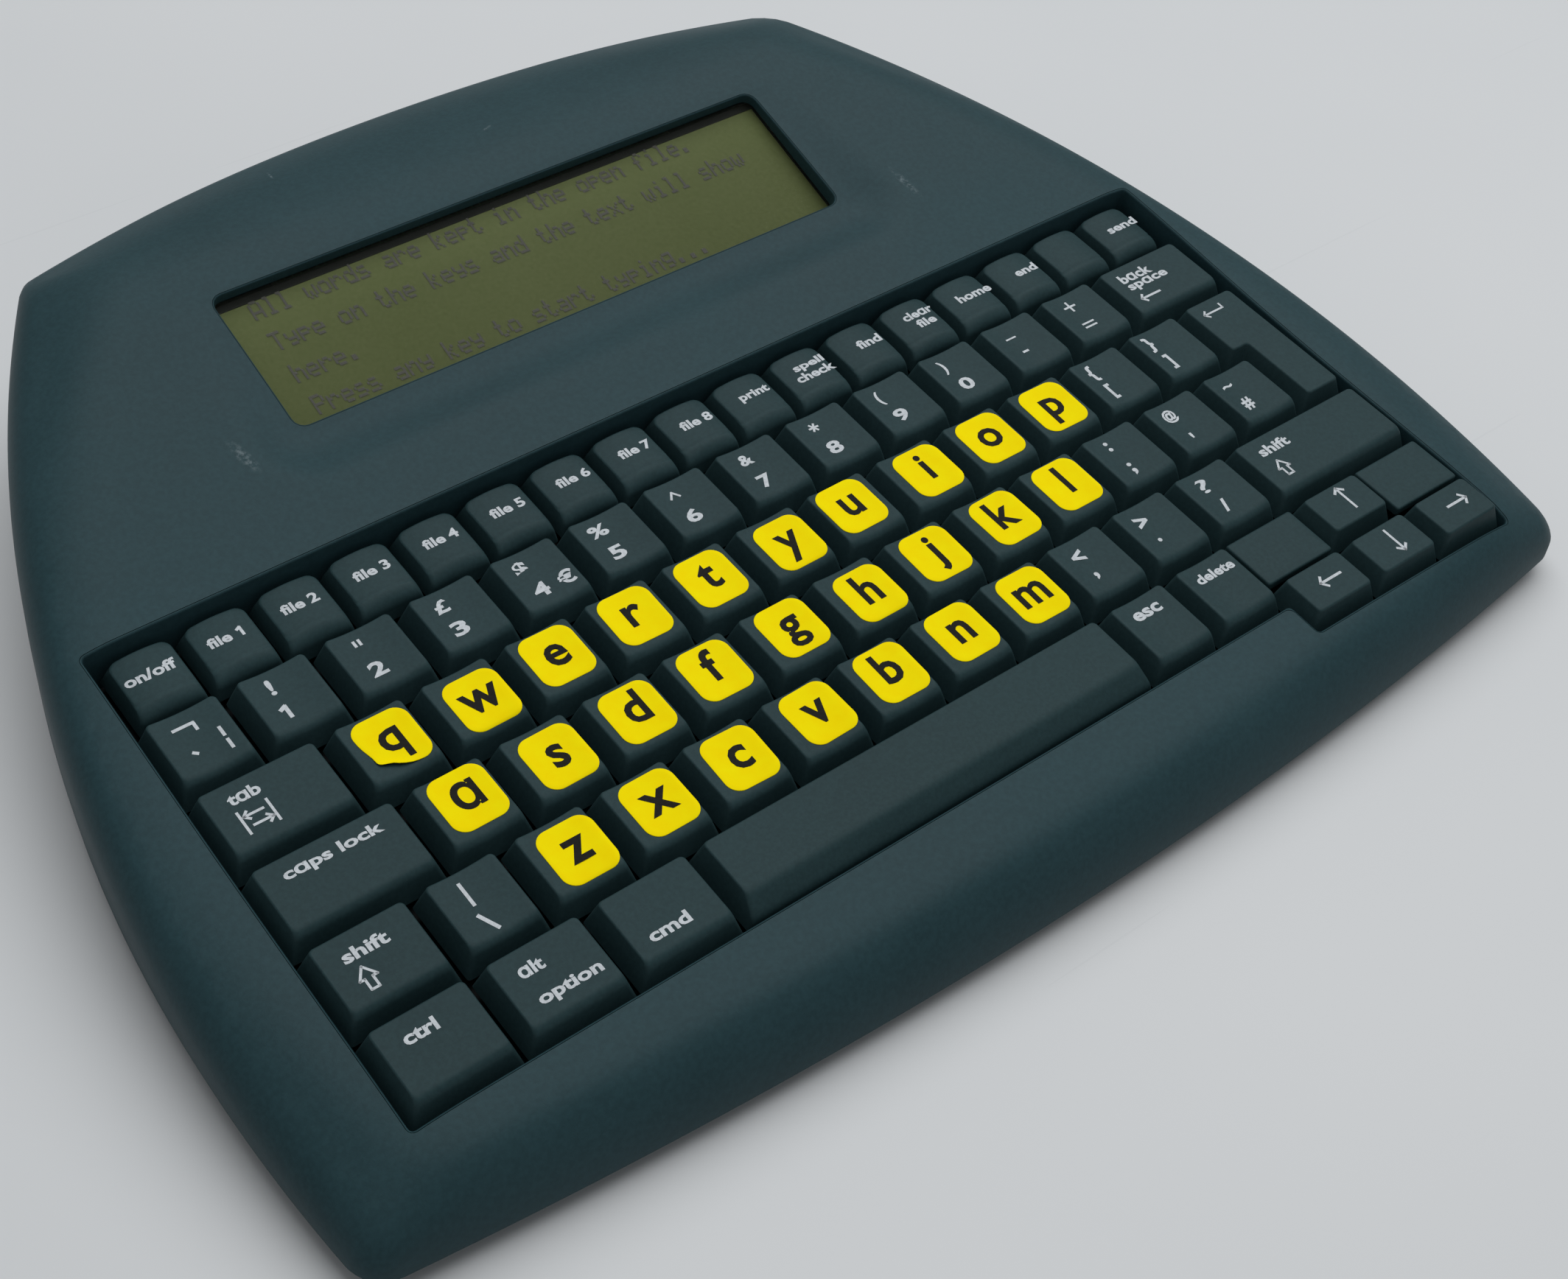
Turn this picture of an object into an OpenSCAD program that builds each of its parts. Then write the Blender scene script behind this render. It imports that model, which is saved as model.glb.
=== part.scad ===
// Portable electronic word processor: a wedge-shaped case with a full keyboard
// and a wide four-line display behind it.
// Millimetres. +Z is up, the typist sits at -Y, and the origin is the middle of
// the case on the surface that its feet stand on.

/* [Keyboard] */
// Distance from one letter key to the next
key_pitch = 19.05; // [18:0.05:20]
// Gap between two neighbouring keys at their skirts
key_gap = 0.85; // [0.6:0.05:1.2]
// Height of a key's top above the key plane
key_rise = 1.4; // [0.8:0.1:2.5]
// Depth of a key's skirt below the key plane
key_skirt = 4.4; // [4:0.1:5]
// How far a key goes down
key_travel = 3; // [2:0.1:3.2]
// Thickness of a key's side walls
key_wall = 1.2; // [0.9:0.1:1.4]
// Thickness of a key's roof
key_roof = 1.6; // [1.3:0.1:1.8]
// How far a key's left and right sides lean in
key_side_lean = 1.9; // [1:0.1:2.2]
// How far a key's front leans in
key_front_lean = 1.9; // [1:0.1:2.2]
// How far a key's back leans in
key_back_lean = 0.9; // [0.5:0.1:1.5]
// Radius of the hollow in a key's top
key_dish_r = 36; // [28:1:60]
// Depth of the hollow in a key's top
key_dish = 0.6; // [0.2:0.1:0.7]
// Radius of a key's plunger
stem_r = 2.5; // [2:0.1:2.7]
// Running clearance round a plunger
stem_clear = 0.08; // [0.05:0.01:0.1]
// Distance from one function key to the next
func_pitch = 16.04; // [15.5:0.02:16.2]
// Front-to-back room of a function key
func_depth = 17.1; // [16:0.1:18]
// Radius of a function key's crowned top
func_crown_r = 26; // [20:1:60]
// Front-to-back room of an arrow key
arrow_depth = 13.6; // [13:0.1:14.5]
// Slope of the key plane
key_tilt = 5; // [3:0.5:7]
// Height of the key plane at the middle of the top letter row
key_plane_z = 27; // [26:0.5:32]

/* [Case] */
// Room between the keyboard and the case's side at its front corners
side_margin = 17.6; // [15:0.5:22]
// Room between the keyboard's letter block and the case's front
front_margin = 23.5; // [21:0.5:30]
// Room between the keyboard and the display window
display_gap = 30; // [28:0.5:40]
// Room between the display window and the ridge behind it
ridge_gap = 7.8; // [6:0.2:12]
// Distance from the ridge to the back of the case
back_fall = 41; // [34:0.5:50]
// Case width beyond the window, each side, at the back corners
back_margin = 28; // [24:0.5:34]
// Outward bow of the front edge
front_bow = 9.8; // [6:0.2:12]
// Outward bow of each side
side_bow = 21.6; // [16:0.2:24]
// Outward bow of the back edge
back_bow = 12; // [8:0.5:15]
// Wall of the case
wall = 2.2; // [1.8:0.1:2.6]
// Height of the deck over the key plane at the front of the keyboard
deck_front = 0; // [-0.5:0.1:1]
// Height of the deck over the key plane at the back of the keyboard
deck_back = 3.8; // [3:0.1:5]
// Height of the ridge over the key plane
ridge_rise = 12.9; // [11.5:0.1:15]
// Radius of the slope behind the ridge
fall_r = 85; // [70:1:140]
// Radius of the rolled upper edge at the sides
rim_roll = 10; // [8:0.5:12]
// Radius of the rolled upper edge at the front
front_roll = 15.5; // [15:0.5:17]
// Radius of the rolled upper edge at the back
back_roll = 10; // [8:0.5:11]
// Slope of the rolled edge's line, front to back
rim_tilt = 8.9; // [7.5:0.1:10]
// Height of the rolled edge's widest line at the front
rim_front_z = 3.4; // [2.8:0.1:5]
// Radius of the front corners in plan
front_corner_r = 8; // [5:0.5:10]
// Radius of the back corners in plan
back_corner_r = 6; // [4:0.5:8]
// Height of the underside
floor_z = 2.5; // [2:0.1:3]
// Height of the seam between the shells at the front
seam_front_z = 4.1; // [3.8:0.1:4.6]
// Slope of the seam
seam_tilt = 3.5; // [2.5:0.1:4.5]
// Step in from the upper shell to the lower one
seam_step = 0.4; // [0.2:0.1:0.8]
// Radius of the lower edge
lower_roll = 4; // [3:0.5:6]
// Gap between the keys and the edge of their opening
well_gap = 0.5; // [0.4:0.1:1]
// Wall that hangs down round the keyboard opening
well_wall = 1.6; // [1.2:0.1:2.2]

/* [Display] */
// Width of the display window
window_w = 145; // [135:0.5:150]
// Front-to-back size of the display window
window_d = 34.5; // [30:0.5:38]
// Slope of the window's rim against the key plane
window_tilt = 13.6; // [11:0.1:15]
// Height of the window's front rim over the key plane
window_rise = 4.1; // [3.5:0.1:5]
// Depth of the clear window below its rim
window_depth = 3.5; // [2.5:0.1:4.5]
// Radius of the scoop round the window
scoop_r = 19; // [14:0.5:26]
// Thickness of the clear window
window_t = 1.2; // [0.8:0.1:2]
// Thickness of the display glass
panel_t = 2.4; // [1.8:0.1:3]
// Height of the metal frame under the glass's seat
frame_foot = 2.3; // [1.6:0.1:3]
// Border of the window plate hidden under the case
window_border = 2.5; // [2:0.1:4]

/* [Inside] */
// Thickness of the key guide plate
guide_t = 1.8; // [1.4:0.1:2.2]
// Wall of a key guide's chimney
chimney_wall = 1; // [0.8:0.1:1.1]
// Height of a rubber dome
dome_h = 2.5; // [2.2:0.1:2.8]
// Thickness of the rubber sheet
sheet_t = 0.6; // [0.4:0.1:0.8]
// Thickness of the contact film
film_t = 0.3; // [0.2:0.1:0.5]
// Thickness of the steel plate
plate_t = 1; // [0.8:0.1:1.2]
// Thickness of the circuit boards
board_t = 1.6; // [1.2:0.1:2]
// Length of one cell
cell_l = 50.5; // [49.2:0.1:50.5]
// Diameter of one cell
cell_d = 14.5; // [13.5:0.1:14.5]
// Diameter of the backup cell
coin_d = 20; // [16:0.5:24]
// Radius of a rubber foot
foot_r = 6; // [4:0.5:8]
// Radius of a case screw's shank
screw_r = 1.4; // [1.2:0.1:1.6]
// Radius of a case screw's head
screw_head_r = 2.8; // [2.4:0.1:3.2]

/* [Sockets] */
// Width of the upstream socket's shell
usb_b_w = 12; // [11.5:0.1:12.5]
// Height of the upstream socket's shell
usb_b_h = 11; // [10.5:0.1:11.5]
// Width of the downstream socket's shell
usb_a_w = 14.5; // [14:0.1:15]
// Height of the downstream socket's shell
usb_a_h = 7; // [6.6:0.1:7.4]
// Radius of the power plug's bore
power_bore_r = 3.1; // [2.8:0.1:3.2]
// Width of the infrared window
ir_w = 20; // [14:1:26]
// Height of the infrared window
ir_h = 9; // [7:0.5:11]

/* [Hidden] */
LETTER_ROWS = ["qwertyuiop", "asdfghjkl", "zxcvbnm"];
LETTER_KEYS = [for (row = LETTER_ROWS) for (letter = row) str("key_", letter)];

$fn = 96;
SHELL = [0.15, 0.22, 0.24];
KEY = [0.18, 0.25, 0.27];
far = 400;
soft_clear = 0.3;
u = key_pitch;

// Key cells, each [left, right, front, back] in key pitches from the
// keyboard's left edge and from the middle of the top letter row
keyboard_u = 14.5;
cluster_left = 11.25;
arrow_u = (keyboard_u - cluster_left) / 3;
letter_left = [1.5, 1.75, 2.25];

function unit_cell(left, row, width = 1) = [left, left + width, row - 0.5, row + 0.5];
NUMBER_CELLS = [for (i = [0 : 12]) unit_cell(i, 1)];
BACKSPACE_CELL = unit_cell(13, 1, 1.5);
ENTER_CELLS = [[13.75, 14.5, -1.5, 0.5], [13.5, 14.5, -0.5, 0.5]];
PUNCTUATION_CELLS = concat(
    [for (i = [0 : 1]) unit_cell(11.5 + i, 0)],
    [for (i = [0 : 2]) unit_cell(10.75 + i, -1)],
    [unit_cell(1.25, -2)],
    [for (i = [0 : 2]) unit_cell(9.25 + i, -2)]);
MODIFIER_CELLS = [
    unit_cell(0, 0, 1.5), unit_cell(0, -1, 1.75),
    unit_cell(0, -3, 1.25), unit_cell(1.25, -3, 1.25), unit_cell(2.5, -3, 1.25),
    unit_cell(9.25, -3), unit_cell(10.25, -3)];
LEFT_SHIFT_CELL = unit_cell(0, -2, 1.25);
RIGHT_SHIFT_CELL = unit_cell(12.25, -2, 2.25);
SPACE_CELL = unit_cell(3.75, -3, 5.5);
function letter_cell(row, i) = unit_cell(letter_left[row] + i, -row);

// The same cells in millimetres, with X from the keyboard's centre line
function in_mm(c) = [(c[0] - keyboard_u / 2) * u, (c[1] - keyboard_u / 2) * u,
                     c[2] * u, c[3] * u];
func_count = 17;
func_front = 1.5 * u;
FUNCTION_CELLS = [for (i = [0 : func_count - 1])
    [(i - func_count / 2) * func_pitch, (i + 1 - func_count / 2) * func_pitch,
     func_front, func_front + func_depth]];
cluster_back = -2.5 * u;
function cluster_cell(column, row) =
    [(cluster_left + column * arrow_u - keyboard_u / 2) * u,
     (cluster_left + (column + 1) * arrow_u - keyboard_u / 2) * u,
     cluster_back - (row + 1) * arrow_depth, cluster_back - row * arrow_depth];
ARROW_CELLS = [cluster_cell(1, 0), cluster_cell(0, 1), cluster_cell(1, 1),
               cluster_cell(2, 1)];
BLANK_CELLS = [cluster_cell(0, 0), cluster_cell(2, 0)];

// The keyboard's outline in the key plane
func_side = 1.5;
kb_half = max(keyboard_u * u / 2, func_count * func_pitch / 2 + func_side);
func_over = kb_half - keyboard_u * u / 2;
kb_front = -3.5 * u;
kb_back = func_front + func_depth;
cluster_x = (cluster_left - keyboard_u / 2) * u;
cluster_front = cluster_back - 2 * arrow_depth;

// Heights of the keyboard's layers over the key plane
travel_gap = 0.4;
guide_top = -key_skirt - key_travel - travel_gap;
guide_bottom = guide_top - guide_t;
key_ceiling = key_rise - key_roof;
chimney_top = key_ceiling - key_travel - 0.7;
stem_bottom = guide_bottom + 0.6;
dome_top = guide_bottom - 0.1;
sheet_top = dome_top - dome_h;
sheet_bottom = sheet_top - sheet_t;
film_bottom = sheet_bottom - film_t;
plate_bottom = film_bottom - plate_t;
chimney_r = stem_r + stem_clear + chimney_wall;
dome_bore_r = stem_r + 0.4;

// Places along the key plane, front to back
window_y = kb_back + display_gap;
window_run = window_d * cos(window_tilt);
ridge_y = window_y + window_run + ridge_gap;

// The case in plan
key_run = (ridge_y - kb_front) * cos(key_tilt);
body_d = front_margin + key_run + back_fall;
front_y = -body_d / 2;
back_y = body_d / 2;
key_y = front_y + front_margin - kb_front * cos(key_tilt);
front_half = kb_half + side_margin;
back_half = window_w / 2 + back_margin + func_over;
front_corner_y = front_y + front_bow;
back_corner_y = back_y - back_bow;

// Heights
inner_floor = floor_z + wall;
rim_z = rim_front_z - front_y * tan(rim_tilt);
seam_z = seam_front_z - front_y * tan(seam_tilt);

// An arc through two corners with a given outward bow, as [centre, radius].
// The case lies to the left of the way from p to q.
function arc_of(p, q, bow) =
    let (chord = norm(q - p), r = (chord * chord / 4 + bow * bow) / (2 * bow),
         along = (q - p) / chord, inward = [-along[1], along[0]])
    [(p + q) / 2 + inward * (r - bow), r];
function meet(a, b, towards) =
    let (gap = b[0] - a[0], d = norm(gap),
         along = (a[1] * a[1] - b[1] * b[1] + d * d) / (2 * d),
         across = sqrt(a[1] * a[1] - along * along),
         e = gap / d, base = a[0] + e * along,
         p = base + [-e[1], e[0]] * across, q = base - [-e[1], e[0]] * across)
    norm(p - towards) < norm(q - towards) ? p : q;
function circle_through(a, b, c) =
    let (d = 2 * (a[0] * (b[1] - c[1]) + b[0] * (c[1] - a[1]) + c[0] * (a[1] - b[1])),
         x = ((a * a) * (b[1] - c[1]) + (b * b) * (c[1] - a[1])
              + (c * c) * (a[1] - b[1])) / d,
         y = ((a * a) * (c[0] - b[0]) + (b * b) * (a[0] - c[0])
              + (c * c) * (b[0] - a[0])) / d)
    [[x, y], norm(a - [x, y])];

// The four corners, then the four arcs: back, right, front and left.
// stretch lengthens Y, for outlines drawn on the sloping rim plane.
function corners(stretch) = [
    [-back_half, back_corner_y * stretch], [back_half, back_corner_y * stretch],
    [front_half, front_corner_y * stretch], [-front_half, front_corner_y * stretch]];
function outline(stretch, inset) =
    let (c = corners(stretch))
    [for (side = [[c[1], c[0], back_bow * stretch], [c[2], c[1], side_bow],
                  [c[3], c[2], front_bow * stretch], [c[0], c[3], side_bow]])
        let (a = arc_of(side[0], side[1], side[2])) [a[0], a[1] - inset]];

// The deck's arc over the keyboard and the display, and the slope behind it,
// in the key frame's Y and Z
well_back = kb_back + well_gap;
deck = circle_through([cluster_front, deck_front], [well_back, deck_back],
                      [ridge_y, ridge_rise]);
fall_lead = 3;
fall_centre = [ridge_y + fall_lead,
               ridge_rise - sqrt(fall_r * fall_r - fall_lead * fall_lead)];

// Places of screws, feet and posts, from the edges that they stand by
screw_inset = 13.2;
mate_z = 8;
back_screw_y = back_corner_y - 14;
side_screw_y = key_y + well_back + 18;
SCREWS = [[-kb_half + 48, front_y + screw_inset], [cluster_x - 26, front_y + screw_inset],
          [-back_half - 11, side_screw_y], [back_half + 11, side_screw_y],
          [-back_half + 8, back_screw_y], [back_half - 8, back_screw_y]];
FEET = [[-front_half + 30, front_corner_y + 28], [front_half - 30, front_corner_y + 28],
        [-back_half + 22, back_corner_y - 18], [back_half - 22, back_corner_y - 18]];
foot_sink = 0.5;
boss_r = 3.4;
post_r = 5;
screw_tip_z = 14.5;
head_h = 1.8;
head_z = floor_z + 0.7;

// The battery bay, which the door closes from below
cell_step = cell_d + 0.7;
bay_clear = 0.35;
contact_room = 4;
bay_wall = 1.5;
bay_half_x = cell_l / 2 + contact_room;
bay_half_y = 1.5 * cell_step + bay_clear;
bay_y = key_y + well_back + bay_half_y + 12;
cell_z = inner_floor + bay_clear + cell_d / 2;
bay_top = cell_z + cell_d / 2 + 0.8;
board_z = bay_top + bay_wall + soft_clear;
board_top = board_z + board_t;
door_t = 1.8;
door_half = bay_half_x + 2.6;
tongue = 1.4;
tongue_t = 0.9;
door_front = bay_y - bay_half_y - 2;
board_front = bay_y - bay_half_y - 6;
board_half = 84;
board_back = back_corner_y - 12;
socket_back = back_y - 14;

// Socket places along the back edge, and the distance that the wall has
// bowed in there
device_x = 22;
host_x = 44;
power_x = 66;
ir_x = -34;
function wall_y(x) =
    let (a = outline(1, 0)[0]) a[0][1] + sqrt(a[1] * a[1] - x * x);
socket_clear = 0.3;
socket_inset = 0.8;
power_w = 9;
power_h = 11;

// The display's stack, in the window's own frame: X and Y along the rim plane
// from the window's middle, Z out of it
seat_z = -window_depth;
panel_z = seat_z - window_t;
frame_z = panel_z - panel_t;
stack_bottom = frame_z - frame_foot;
plate_w = window_w + 2 * window_border;
plate_d = window_d + 2 * window_border;
collar_wall = 1.6;
collar_w = plate_w + 2 * soft_clear + 2 * collar_wall;
collar_d = plate_d + 2 * soft_clear + 2 * collar_wall;
scoop_side = 11.5;
bezel_t = 1.7;

module on_keys() {
    translate([0, key_y, key_plane_z]) rotate([key_tilt, 0, 0]) children();
}

module on_window() {
    on_keys() translate([0, window_y, window_rise]) rotate([window_tilt, 0, 0])
        translate([0, window_d / 2, 0]) children();
}

module centred_box(size, z) {
    translate([-size[0] / 2, -size[1] / 2, z]) cube(size);
}

// One side of the case: what lies within an arc, with the edge's section as
// the child, its outer limit at X = 0
module within(a) {
    translate([a[0][0], a[0][1], 0]) rotate_extrude($fn = 360)
        intersection() {
            translate([0, -far]) square([a[1] + far, 2 * far]);
            translate([a[1], 0]) children();
        }
}

// Takes the sharp corner off the outline, at one corner point
module corner_cut(a, b, near, r) {
    p = meet(a, b, near);
    ta = (p - a[0]) / a[1];
    tb = (p - b[0]) / b[1];
    inward = -(ta + tb) / norm(ta + tb);
    half = acos(min(1, norm(ta + tb) / 2));
    phi = 90 - half;
    chord_x = r * cos(phi) * cos(phi) / sin(phi);
    overlap = 0.08;
    translate([p[0], p[1], -70]) rotate([0, 0, atan2(inward[1], inward[0])])
        linear_extrude(height = 200) difference() {
            translate([-30, -30]) square([30 + chord_x, 60]);
            translate([(r - overlap) / sin(phi), 0]) circle(r = r, $fn = 72);
        }
}

module corner_cuts(inset) {
    o = outline(1, inset);
    c = corners(1);
    corner_cut(o[0], o[3], c[0], back_corner_r - inset);
    corner_cut(o[0], o[1], c[1], back_corner_r - inset);
    corner_cut(o[1], o[2], c[2], front_corner_r - inset);
    corner_cut(o[2], o[3], c[3], front_corner_r - inset);
}

// One side of the rolled rim, a disc with its edge at the outline: a straight
// wall, a roll of radius r that turns by an angle, then a straight rise
module rim_disc(a, r, turn, rise, inset) {
    steps = 8;
    roll = [for (i = [0 : steps]) let (t = turn * i / steps)
        [a[1] - (r - inset) * (1 - cos(t)), (r - inset) * sin(t)]];
    end = roll[steps];
    translate([a[0][0], a[0][1], 0]) rotate_extrude($fn = 180)
        polygon(concat([[0, -60], [a[1], -60]], roll,
                       [[0, end[1] + end[0] * tan(rise)]]));
}

// The whole rim: the four discs and the corners, leant so that the widest line
// climbs to the back while the walls stay upright
module rim(inset) {
    o = outline(1, inset);
    back_drop = 3;
    translate([0, 0, rim_z]) multmatrix([[1, 0, 0, 0], [0, 1, 0, 0],
                                         [0, tan(rim_tilt), 1, 0], [0, 0, 0, 1]])
        hull() difference() {
            intersection() {
                translate([0, 0, -back_drop])
                    rim_disc(o[0], back_roll, 55, 33, inset);
                rim_disc(o[1], rim_roll, 65, 22, inset);
                rim_disc(o[2], front_roll, 84, 3, inset);
                rim_disc(o[3], rim_roll, 65, 22, inset);
            }
            corner_cuts(inset);
        }
}

module plan_2d(inset) {
    o = outline(1, inset);
    intersection_for (i = [0 : 3]) translate(o[i][0]) circle(r = o[i][1], $fn = 360);
}

// What lies under the deck, less a skin of the given thickness. The slope
// behind the ridge starts where it is still above the deck.
module under_deck(inset) {
    lead_in = 10;
    on_keys() rotate([90, 0, 90]) linear_extrude(height = far, center = true)
        difference() {
            translate([-far / 2, -80]) square([far, 120]);
            translate(deck[0]) circle(r = deck[1] + inset, $fn = 720);
            difference() {
                translate([ridge_y - lead_in, -70]) square([far, 140]);
                translate(fall_centre) circle(r = fall_r - inset, $fn = 360);
            }
        }
}

module above_seam() {
    translate([0, 0, seam_z]) rotate([seam_tilt, 0, 0])
        translate([-far, -far, 0]) cube([2 * far, 2 * far, far]);
}

module upper_body(inset) {
    intersection() {
        rim(inset);
        under_deck(inset);
    }
}

// The lower shell's edge: straight, with a roll where it turns under
module lower_section() {
    translate([-far, floor_z + lower_roll]) square([far, 60]);
    translate([-far, floor_z]) square([far - lower_roll, 60]);
    translate([-lower_roll, floor_z + lower_roll]) circle(r = lower_roll);
}

module lower_body() {
    o = outline(1, seam_step);
    difference() {
        intersection() {
            within(o[0]) lower_section();
            within(o[1]) lower_section();
            within(o[2]) lower_section();
            within(o[3]) lower_section();
        }
        corner_cuts(seam_step);
        above_seam();
    }
}

// The outline of the key well, grown by a margin
module well_2d(grow) {
    translate([-kb_half - grow, kb_front - grow])
        square([2 * (kb_half + grow), kb_back - kb_front + 2 * grow]);
    translate([cluster_x - grow, cluster_front - grow])
        square([kb_half - cluster_x + 2 * grow, kb_front - cluster_front + 2 * grow]);
}

module well_prism(grow, from, to) {
    on_keys() translate([0, 0, from]) linear_extrude(height = to - from) well_2d(grow);
}

// The scoop that leads down to the window's front and sides
module scoop() {
    on_window() {
        centred_box([window_w, window_d, 30], -15);
        for (side = [-1, 1]) {
            translate([side * window_w / 2, -window_d / 2, scoop_r])
                rotate([-90, 0, 0]) cylinder(r = scoop_r, h = window_d);
            translate([side * window_w / 2, -window_d / 2, scoop_r]) sphere(r = scoop_r);
        }
        translate([-window_w / 2, -window_d / 2, scoop_r])
            rotate([0, 90, 0]) cylinder(r = scoop_r, h = window_w);
    }
}

// The thick rim that the scoop is cut in, and the wall round the display
module collar() {
    on_window() {
        difference() {
            centred_box([collar_w, collar_d, 20 - stack_bottom], stack_bottom);
            centred_box([plate_w + 2 * soft_clear, plate_d + 2 * soft_clear,
                         seat_z - stack_bottom + 1], stack_bottom - 1);
        }
        translate([-window_w / 2 - scoop_side, -window_d / 2 - scoop_side, seat_z])
            cube([window_w + 2 * scoop_side, window_d + scoop_side + window_border, 20]);
    }
}

module port_cuts() {
    depth = 12;
    for (port = [[device_x, usb_b_w, usb_b_h], [host_x, usb_a_w, usb_a_h],
                 [power_x, power_w, power_h]])
        translate([port[0] - port[1] / 2 - socket_clear, socket_back,
                   board_top - socket_clear])
            cube([port[1] + 2 * socket_clear, back_y - socket_back + depth,
                  port[2] + 2 * socket_clear]);
    translate([ir_x - ir_w / 2 - socket_clear, socket_back, board_top - socket_clear])
        cube([ir_w + 2 * socket_clear, back_y - socket_back + depth,
              ir_h + 2 * socket_clear]);
}

module top_shell() {
    color(SHELL) difference() {
        intersection() {
            upper_body(0);
            above_seam();
        }
        difference() {
            upper_body(wall);
            collar();
            well_prism(well_gap + well_wall, guide_top, 20);
            for (s = SCREWS) translate([s[0], s[1], mate_z]) cylinder(r = boss_r, h = 60);
        }
        well_prism(well_gap, -40, 40);
        scoop();
        port_cuts();
        for (s = SCREWS) translate([s[0], s[1], mate_z - 1])
            cylinder(r = screw_r + 0.05, h = screw_tip_z + 1 - mate_z + 1);
    }
}

// Stands under the boards and the key plate
post_inset = 30;
PLATE_POSTS = [for (x = [post_inset - kb_half, 0, kb_half - post_inset])
    for (y = [0.35, 0.9]) [x, y]];
BOARD_POSTS = [[-board_half + 8, board_front + 8], [board_half - 8, board_front + 8],
               [-board_half + 8, board_back - 24], [board_half - 8, board_back - 24]];
pin_r = 1.4;

function plate_y(share) = key_y + kb_front + share * (kb_back - kb_front);

module bottom_posts() {
    for (s = SCREWS) translate([s[0], s[1], floor_z])
        cylinder(r = post_r, h = mate_z - floor_z);
    for (p = BOARD_POSTS) translate([p[0], p[1], floor_z]) {
        cylinder(r = 3, h = board_z - floor_z);
        cylinder(r = pin_r, h = board_top - floor_z + 0.8);
    }
    difference() {
        for (p = PLATE_POSTS) translate([p[0], plate_y(p[1]), floor_z])
            cylinder(r = 3, h = 30);
        on_keys() translate([-far, -far, plate_bottom]) cube([2 * far, 2 * far, 80]);
    }
}

module battery_bay() {
    translate([-bay_half_x - bay_wall, bay_y - bay_half_y - bay_wall, floor_z])
        cube([2 * (bay_half_x + bay_wall), 2 * (bay_half_y + bay_wall),
              bay_top + bay_wall - floor_z]);
    translate([-door_half - 3.5, door_front - 3, floor_z])
        cube([2 * (door_half + 3.5), back_corner_y - door_front,
              inner_floor + wall - floor_z]);
}

module door_channel() {
    clear = soft_clear;
    translate([-door_half - clear, door_front - clear, 0])
        cube([2 * (door_half + clear), far, inner_floor]);
    translate([-door_half - tongue - clear, door_front - clear,
               inner_floor - tongue_t - 2 * clear])
        cube([2 * (door_half + tongue + clear), far, tongue_t + 2 * clear]);
}

module bottom_shell() {
    color(SHELL) difference() {
        union() {
            difference() {
                lower_body();
                difference() {
                    translate([0, 0, inner_floor]) linear_extrude(height = 60)
                        plan_2d(wall + seam_step);
                    bottom_posts();
                    battery_bay();
                }
            }
            translate([0, 0, floor_z + 0.6])
                linear_extrude(height = inner_floor - floor_z - 0.6)
                    plan_2d(wall + lower_roll);
            bottom_posts();
            battery_bay();
        }
        translate([-bay_half_x, bay_y - bay_half_y, 0])
            cube([2 * bay_half_x, 2 * bay_half_y, bay_top]);
        door_channel();
        for (s = SCREWS) translate([s[0], s[1], 0]) {
            cylinder(r = screw_r + 0.3, h = mate_z + 1);
            cylinder(r = screw_head_r + 0.3, h = head_z + head_h);
        }
        for (f = FEET) translate([f[0], f[1], 0])
            cylinder(r = foot_r + 0.1, h = floor_z + foot_sink);
    }
}

module battery_door() {
    ridge_pitch = 2.4;
    ridge_depth = 0.6;
    color(SHELL) difference() {
        intersection() {
            union() {
                translate([-door_half, door_front, 0])
                    cube([2 * door_half, far, floor_z + door_t]);
                translate([-door_half - tongue, door_front,
                           inner_floor - tongue_t - soft_clear])
                    cube([2 * (door_half + tongue), back_corner_y - door_front - 4,
                          tongue_t]);
            }
            lower_body();
        }
        for (i = [0 : 4])
            translate([-14, bay_y + bay_half_y + 12 + i * ridge_pitch, 0])
                cube([28, ridge_pitch / 2, floor_z + ridge_depth]);
    }
}

module rubber_feet() {
    color([0.07, 0.07, 0.08]) for (f = FEET) translate([f[0], f[1], 0]) {
        cylinder(r1 = foot_r - 0.8, r2 = foot_r, h = 0.8);
        translate([0, 0, 0.8]) cylinder(r = foot_r, h = floor_z + foot_sink - 0.8);
    }
}

module case_screws() {
    color([0.5, 0.5, 0.52]) for (s = SCREWS) translate([s[0], s[1], head_z]) difference() {
        union() {
            cylinder(r = screw_head_r, h = head_h);
            cylinder(r = screw_r, h = screw_tip_z - head_z);
        }
        for (turn = [0, 90]) rotate([0, 0, turn])
            translate([-1.5, -0.35, -1]) cube([3, 0.7, 1.9]);
    }
}

module display_window() {
    color([0.6, 0.65, 0.5, 0.4]) on_window()
        centred_box([plate_w, plate_d, window_t], panel_z);
}

module display_panel() {
    glass_w = plate_w - 2 * bezel_t - 2 * 0.2;
    glass_d = plate_d - 2 * bezel_t - 2 * 0.2;
    color([0.42, 0.44, 0.26]) on_window()
        centred_box([glass_w, glass_d, panel_t], frame_z);
}

module display_frame() {
    ledge = 4;
    color([0.55, 0.56, 0.57]) on_window() difference() {
        centred_box([plate_w, plate_d, panel_z - stack_bottom], stack_bottom);
        centred_box([plate_w - 2 * bezel_t, plate_d - 2 * bezel_t, panel_t + 1], frame_z);
        centred_box([plate_w - 2 * bezel_t - 2 * ledge, plate_d - 2 * bezel_t - 2 * ledge,
                     20], stack_bottom - 5);
    }
}

module display_board() {
    chip_h = 1.1;
    color([0.1, 0.35, 0.2]) on_window() {
        centred_box([collar_w, collar_d, board_t], stack_bottom - board_t);
        for (x = [-45, -15, 15]) translate([x, 2, 0])
            centred_box([14, 10, chip_h + 0.2], stack_bottom - board_t - chip_h);
    }
}

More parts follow.
